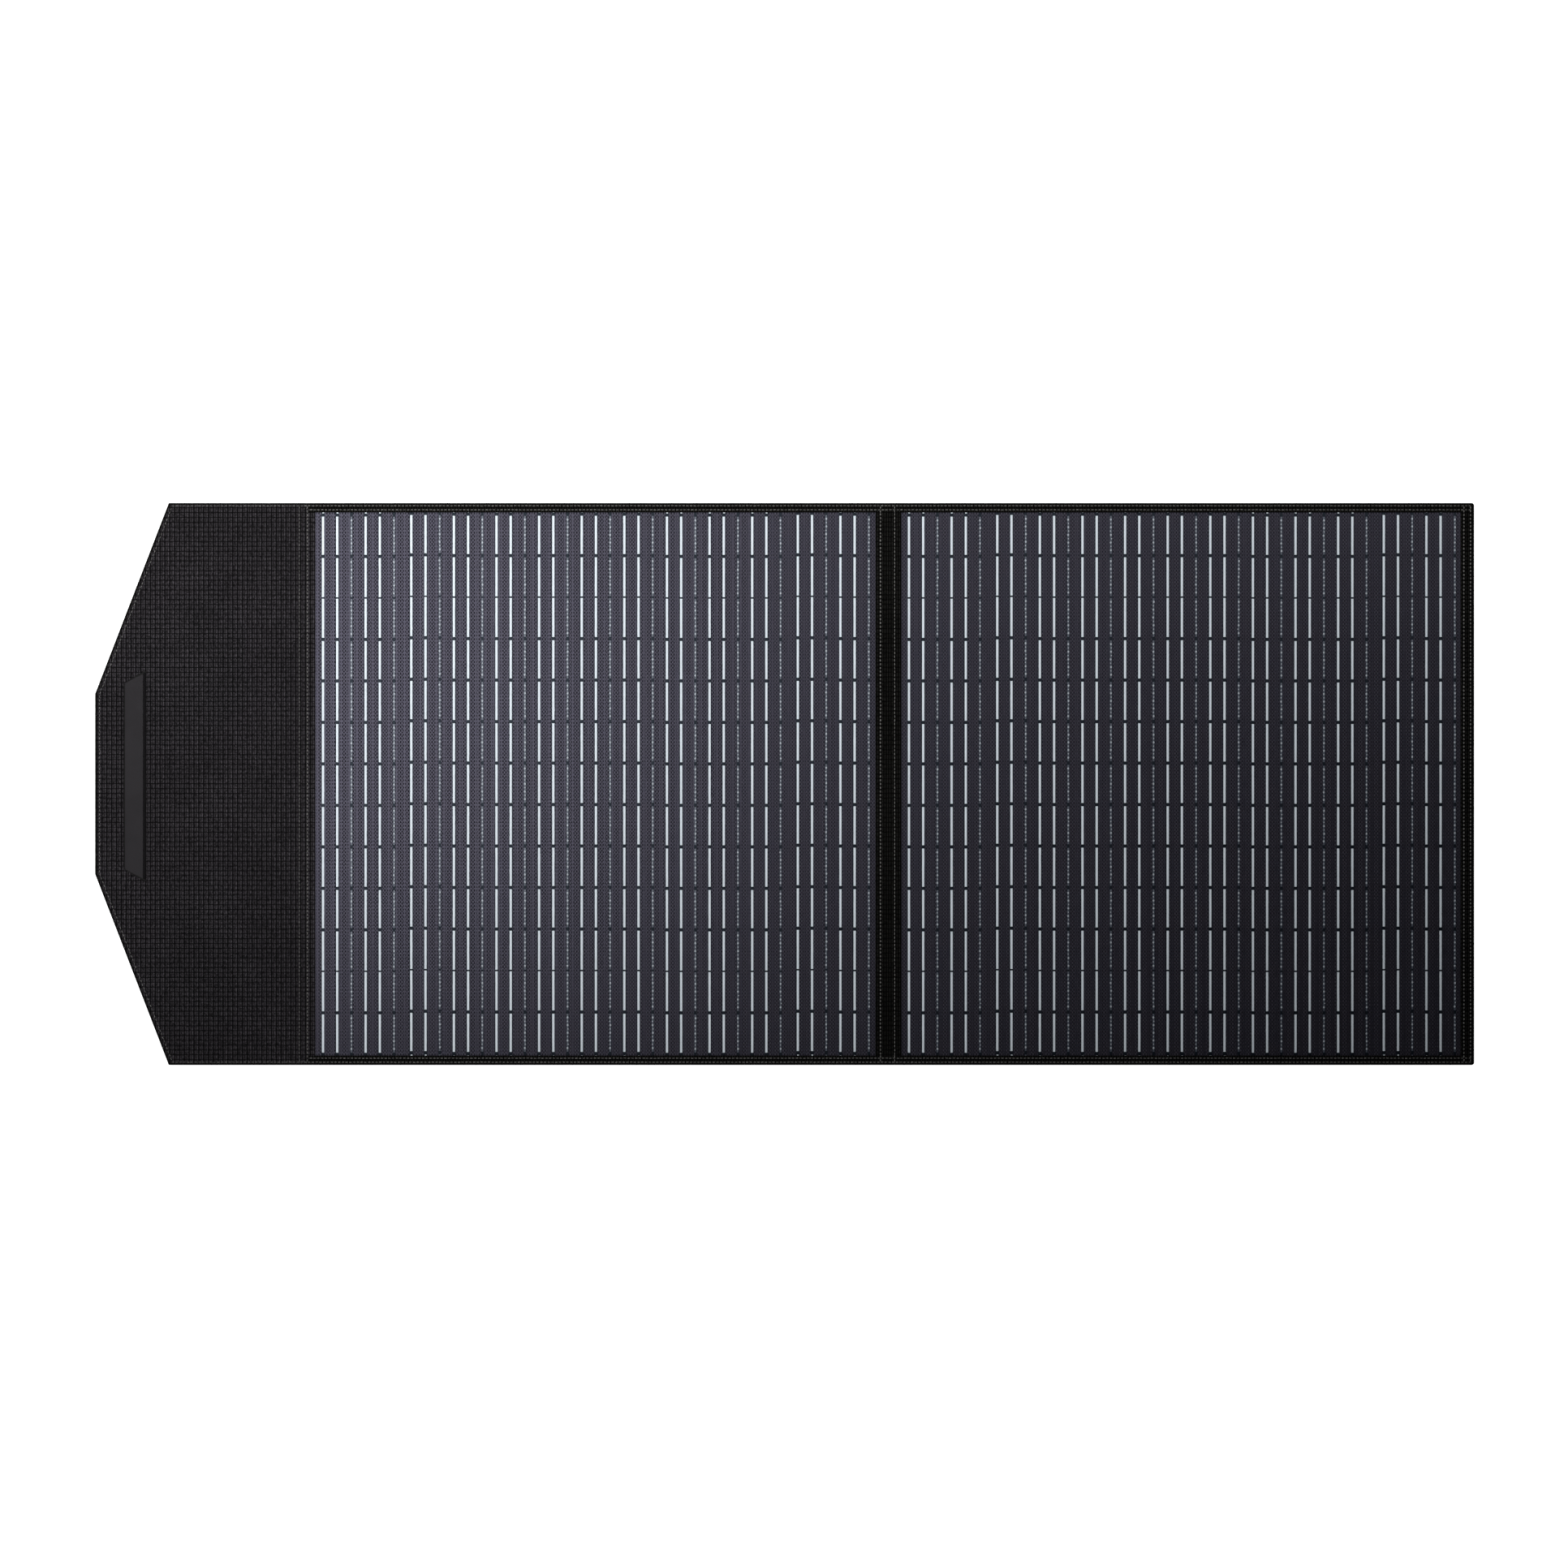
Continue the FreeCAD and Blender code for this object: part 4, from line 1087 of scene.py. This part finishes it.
# ---------------- stands and straps
def build_stand(side):
    """Cloth-covered board with stitched edges, and its rubber foot."""
    low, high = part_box(side + "_stand_outer_skin")
    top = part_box(side + "_stand_board")[1].z + 0.7 * MM
    body = side + "_stand"
    outline = round_box(low.x, high.x, low.y, high.y, 3 * MM)
    cover = slab(side + "_stand_cover", [outline], low.z, top, 1.4 * MM, BACK_WEAVE, 4)
    fasten(cover, body, "cover_fabric", side + "_stand_outer_skin", side + "_stand_inner_skin")
    foot_low, foot_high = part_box(side + "_stand_foot")
    foot_loop = round_box(foot_low.x, foot_high.x, foot_low.y, foot_high.y + 3 * MM, 5.4 * MM)
    foot = slab(side + "_foot", [foot_loop], 0.0, top, 1.5 * MM, RUBBER, 4)
    fasten(foot, body, "rubber", side + "_stand_foot")
    inset = 4 * MM
    x0, x1, y0, y1 = low.x + inset, high.x - inset, low.y + 6 * MM, high.y - inset
    a, b, c, d = (x0, y0), (x1, y0), (x0, y1), (x1, y1)
    lines = ((a, c), (b, d), (c, d), (a, b))
    places = rows(lines, top, 1) + rows(lines, 0.12 * MM, -1)
    seam(side + "_stand_stitches", places, body, "cover_fabric")


def build_hinge_tape(side):
    """Cloth hinge: sewn flat to the panel's back, it turns down onto the stand's padded end."""
    low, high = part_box(side + "_stand_outer_skin")
    sewn_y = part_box(side + "_back_webbing")[1].y
    _, fold_y, fold_z = JOINTS[side + "_stand_fold"]
    line = [
        (sewn_y, COVER_Z - 0.9 * MM, 0.8 * MM),
        (sewn_y - 8 * MM, COVER_Z - 1.0 * MM, 0.9 * MM),
        (fold_y + 8 * MM, COVER_Z - 1.1 * MM, 1.0 * MM),
    ]
    for along, up, thick in ((4, 0.6, 0.9), (1.5, -0.1, 0.8), (-1.5, -0.7, 0.8)):
        line.append((fold_y + along * MM, fold_z + up * MM, thick * MM))
    for along, level, thick in ((-5, 5.9, 0.9), (-12, 5.35, 0.9), (-20, 5.1, 0.8)):
        line.append((fold_y + along * MM, level * MM, thick * MM))
    fine = np.linspace(0, len(line) - 1, 45)
    ys, zs, thicks = (np.interp(fine, np.arange(len(line)), part) for part in zip(*line))
    section = list(zip(ys, zs + thicks / 2)) + list(zip(ys, zs - thicks / 2))[::-1]
    rings = [[(x, y, z) for y, z in section] for x in spread(low.x + 1 * MM, high.x - 1 * MM, 9 * MM)]
    tape = loft(side + "_hinge_tape", rings, BACK_WEAVE)
    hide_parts(side + "_back_webbing")
    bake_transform(tape)
    places = []
    for down, z in ((3 * MM, COVER_Z - 1.3 * MM), (9 * MM, COVER_Z - 1.4 * MM)):
        places += row((low.x + 3 * MM, sewn_y - down), (high.x - 3 * MM, sewn_y - down), z, -1)
    seam(side + "_tape_stitches", places, "panel_" + side, "webbing")


def build_straps(side):
    """Limit strap in two halves of webbing, each sewn down at one end with a stitched square."""
    low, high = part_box(side + "_stand_outer_skin")
    for half, owner, up in (("upper", "panel_" + side, -1), ("lower", side + "_stand", 1)):
        node = side + "_strap_" + half
        low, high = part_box(node)
        start = low.y - 20 * MM
        loop = round_box(low.x, high.x, start, high.y, 0.6 * MM, 3)
        strap = slab(side + "_" + half + "_webbing", [loop], low.z, high.z, 0.4 * MM, WEBBING)
        near, far = low.y - 2.5 * MM, low.y + 2.5 * MM
        cut_lines(strap, ALONG_Y, spread(near, far, 0.5 * MM))
        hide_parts(node)
        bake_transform(strap)
        x0, x1, y0, y1 = low.x + 3 * MM, high.x - 3 * MM, low.y - 17 * MM, low.y - 3.5 * MM
        a, b, c, d = (x0, y0), (x1, y0), (x0, y1), (x1, y1)
        lines = ((a, b), (c, d), (a, c), (b, d), (a, d), (c, b))
        places = rows(lines, high.z if up > 0 else low.z, up)
        seam(side + "_" + half + "_strap_stitches", places, owner, "webbing")


# ---------------- pocket and zip
def box_ring(x0, x1, y0, y1, radius, z, bulge=0.0):
    """A ring round a rounded rectangle, with the same count of points whatever its size."""
    parts = 14
    arcs = corner_arcs(x0, x1, y0, y1, radius, 8)
    ring = []
    for n, arc in enumerate(arcs):
        ring += arc
        (ax, ay), (bx, by) = arc[-1], arcs[(n + 1) % 4][0]
        side = Vector((by - ay, ax - bx)).normalized()
        for k in range(1, parts):
            t = k / parts
            out = bulge * math.sin(math.pi * t) * (0.8 + 0.2 * math.sin(9 * t + n))
            ring.append((ax + (bx - ax) * t + side.x * out, ay + (by - ay) * t + side.y * out))
    return [(x, y, z) for x, y in ring]


def build_pocket():
    """Soft pocket behind the flap: a thin bag with a rounded outer edge and a sewn flange."""
    low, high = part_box("pocket_gusset")
    top = FLAP_BACK_Z - 0.02 * MM
    root = top / MM
    outside = [(34.0, 0.0), (2.8, 0.0), (1.3, 0.35), (0.4, 1.2), (0.0, 2.5), (0.05, 5.0), (0.0, 8.0)]
    flange = [(0.0, -1.5), (-0.5, -0.75), (-4.4, -0.7), (-4.6, -0.35), (-4.4, 0.0), (0.6, 0.0), (0.8, -1.2)]
    inside = [(0.8, 8.0), (0.85, 5.0), (0.8, 2.9), (1.2, 1.7), (1.9, 1.0), (3.2, 0.75), (34.0, 0.75)]
    rings = []
    for inset, z in outside + [(inset, root + z) for inset, z in flange] + inside:
        reach = inset * MM
        radius = max(2.0, 8 - max(inset, 0.0)) * MM
        bulge = 0.3 * MM if 2 < z < 9 else 0.0
        sides = (low.x + reach, high.x - reach, low.y + reach, high.y - reach)
        rings.append(box_ring(*sides, radius, z * MM, bulge))
    pocket = loft("pocket_cloth", rings, BACK_WEAVE, 50)
    fasten(pocket, "flap", "cover_fabric", "pocket_gusset", "pocket_face")
    out, turn = 2.4 * MM, 5 * MM
    x0, x1, y0, y1 = low.x - out, high.x + out, low.y - out, high.y + out
    lines = [((x, y0 + turn), (x, y1 - turn)) for x in (x0, x1)]
    lines += [((x0 + turn, y), (x1 - turn, y)) for y in (y0, y1)]
    seam("pocket_stitches", rows(lines, top - 0.72 * MM, -1), "flap", "cover_fabric")


def zip_block(x0, x1, y, z, half, tall):
    """Points and faces of a block along X with its far end eased."""
    ease = 0.25 * MM
    rings = []
    for inset, x in ((0, x0), (0, x1 - ease), (ease, x1)):
        wide, high = half - inset, tall - inset
        y0, y1, z0, z1 = y - wide, y + wide, z - high, z + high
        rings.append([(x, y0, z0), (x, y1, z0), (x, y1, z1), (x, y0, z1)])
    return skin(rings, last=True)


def build_zip():
    """Tapes and a coil of small teeth, leaning to alternate sides."""
    low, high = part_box("zip_tapes")
    wall = low.x
    middle = JOINTS["zip_pull_swing"][2]
    gap = 0.6 * MM
    soft = 0.2 * MM
    for name, z0, z1 in (("zip_tape_lower", low.z, middle - gap), ("zip_tape_upper", middle + gap, high.z)):
        rings = []
        for y in spread(low.y, high.y, 8 * MM):
            x0 = wall - 0.1 * MM
            x1 = wall + 0.6 * MM + 0.05 * MM * math.sin(y / (13 * MM))
            section = ((x0, z0), (x1 - soft, z0), (x1, z0 + soft), (x1, z1 - soft), (x1 - soft, z1), (x0, z1))
            rings.append([(x, y, z) for x, z in section])
        tape = loft(name, rings, ZIP_TAPE)
        fasten(tape, "flap", "zip_tape")
    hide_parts("zip_tapes")
    reach = 129.5 * MM
    x0, x1 = wall + 0.3 * MM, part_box("zip_coil")[1].x - 0.15 * MM
    teeth = []
    for n, y in enumerate(spread(-reach, reach, 1.4 * MM)):
        centre = middle + (0.3 if n % 2 else -0.3) * MM
        teeth.append(zip_block(x0, x1, y, centre, 0.5 * MM, 0.65 * MM))
    stops = []
    for y in (-reach - 2 * MM, reach + 2 * MM):
        stops.append(zip_block(wall, wall + 1.25 * MM, y, middle, 1.4 * MM, 1.0 * MM))
    coil = many("zip_teeth", teeth, COIL)
    fasten(coil, "flap", "zip_coil", "zip_coil")
    fasten(many("zip_end_stops", stops, BLACK_METAL), "flap", "zip_coil")


# ---------------- the CAD pieces that stay
def dress(node, material, ease):
    """Gives a CAD piece its material and, if asked, slightly rounded edges."""
    obj = NODES[node]
    obj.data.materials.clear()
    obj.data.materials.append(material)
    if ease:
        soften = obj.modifiers.new("ease", "BEVEL")
        soften.width = ease
        soften.segments = 2
        soften.limit_method = "ANGLE"
        soften.angle_limit = math.radians(40)


def dress_cad():
    for side in SIDES:
        for node, material, ease in (
            ("_stiffener", BOARD, 0),
            ("_stand_board", BOARD, 0),
            ("_back_sheet", BACKING, 0),
            ("_solar_cells", CELL, 0),
            ("_magnets", STEEL, 0.3),
            ("_leads", LEAD, 0),
            ("_snap_stud", STEEL, 0.4),
            ("_snap_socket", BLACK_METAL, 0.4),
        ):
            dress(side + node, material, ease * MM)
    for material, ease, nodes in (
        (LEAD, 0, ("spine_lead", "flap_lead")),
        (CORE_SHEET, 0, ("flap_core",)),
        (STEEL, 0, ("handle_rivets", "junction_screws", "usb_socket")),
        (STEEL, 0.25, ("handle_plates",)),
        (HOUSING, 0.3, ("junction_base", "junction_lid")),
        (HOUSING, 0.2, ("dc_socket",)),
        (CIRCUIT, 0, ("circuit_board",)),
        (BLACK_METAL, 0.25, ("zip_slider",)),
        (BLACK_METAL, 0.3, ("zip_pull",)),
        (CAP_RUBBER, 0.3, ("port_cap",)),
    ):
        for node in nodes:
            dress(node, material, ease * MM)


# ---------------- stage, light and camera
def add_light(name, place, size, turn, radiance):
    """A soft box; its power follows from how bright its face is."""
    light = bpy.data.lights.new(name, "AREA")
    light.shape = "RECTANGLE"
    light.size, light.size_y = size
    light.energy = 4 * size[0] * size[1] * radiance
    obj = bpy.data.objects.new(name, light)
    obj.location = place
    obj.rotation_euler = (turn[0], turn[1], 0)
    obj.visible_camera = False
    scene.collection.objects.link(obj)


def build_floor():
    half = 12.0
    corners = [(-half, -half, 0), (half, -half, 0), (half, half, 0), (-half, half, 0)]
    add_object("floor", new_mesh("floor", corners, [(0, 1, 2, 3)]), floor_white())


def build_world():
    """White to the camera; as a light, dim overhead and brighter towards the sides."""
    world = bpy.data.worlds.new("studio")
    scene.world = world
    world.use_nodes = True
    nodes, links = world.node_tree.nodes, world.node_tree.links
    back = nodes["Background"]
    kinds = ("TexCoord", "SeparateXYZ", "MapRange", "Background", "LightPath", "MixShader")
    place, split, shade, seen, ray, either = (nodes.new("ShaderNode" + kind) for kind in kinds)
    links.new(place.outputs["Generated"], split.inputs[0])
    links.new(split.outputs["Z"], shade.inputs["Value"])
    for name, number in (("From Min", 0.35), ("From Max", 0.85), ("To Min", 0.3), ("To Max", 0.02)):
        shade.inputs[name].default_value = number
    links.new(shade.outputs["Result"], back.inputs["Strength"])
    links.new(ray.outputs["Is Camera Ray"], either.inputs[0])
    links.new(back.outputs[0], either.inputs[1])
    links.new(seen.outputs[0], either.inputs[2])
    links.new(either.outputs[0], nodes["World Output"].inputs["Surface"])
    for source in (back, seen):
        source.inputs["Color"].default_value = (1, 1, 1, 1)


def build_camera():
    """A level view from straight above."""
    camera = bpy.data.cameras.new("camera")
    camera.type = "ORTHO"
    camera.ortho_scale = 1.449
    camera.clip_start, camera.clip_end = 0.05, 10
    eye = bpy.data.objects.new("camera", camera)
    eye.location = (-0.00056, 0, 2.2)
    scene.collection.objects.link(eye)
    bpy.context.scene.camera = eye
    scene.view_settings.view_transform = "Standard"
    scene.view_settings.look = "None"


build_floor()
build_world()
add_light("key", (-0.794, 0.214, 1.232), (1.48, 1.07), (0.83, 0.206), 5.5)
add_light("fill", (0.517, 0.63, 0.898), (1.29, 0.66), (0.112, 0.719), 1.9)
build_camera()
build_flap()
build_handle()
build_rivets()
build_binding()
build_gusset()
build_end_border()
build_back()
build_panel("left", LEFT_WINDOW)
build_panel("right", RIGHT_WINDOW)
build_stitches()
for side in SIDES:
    build_stand(side)
    build_hinge_tape(side)
    build_straps(side)
build_pocket()
build_zip()
dress_cad()
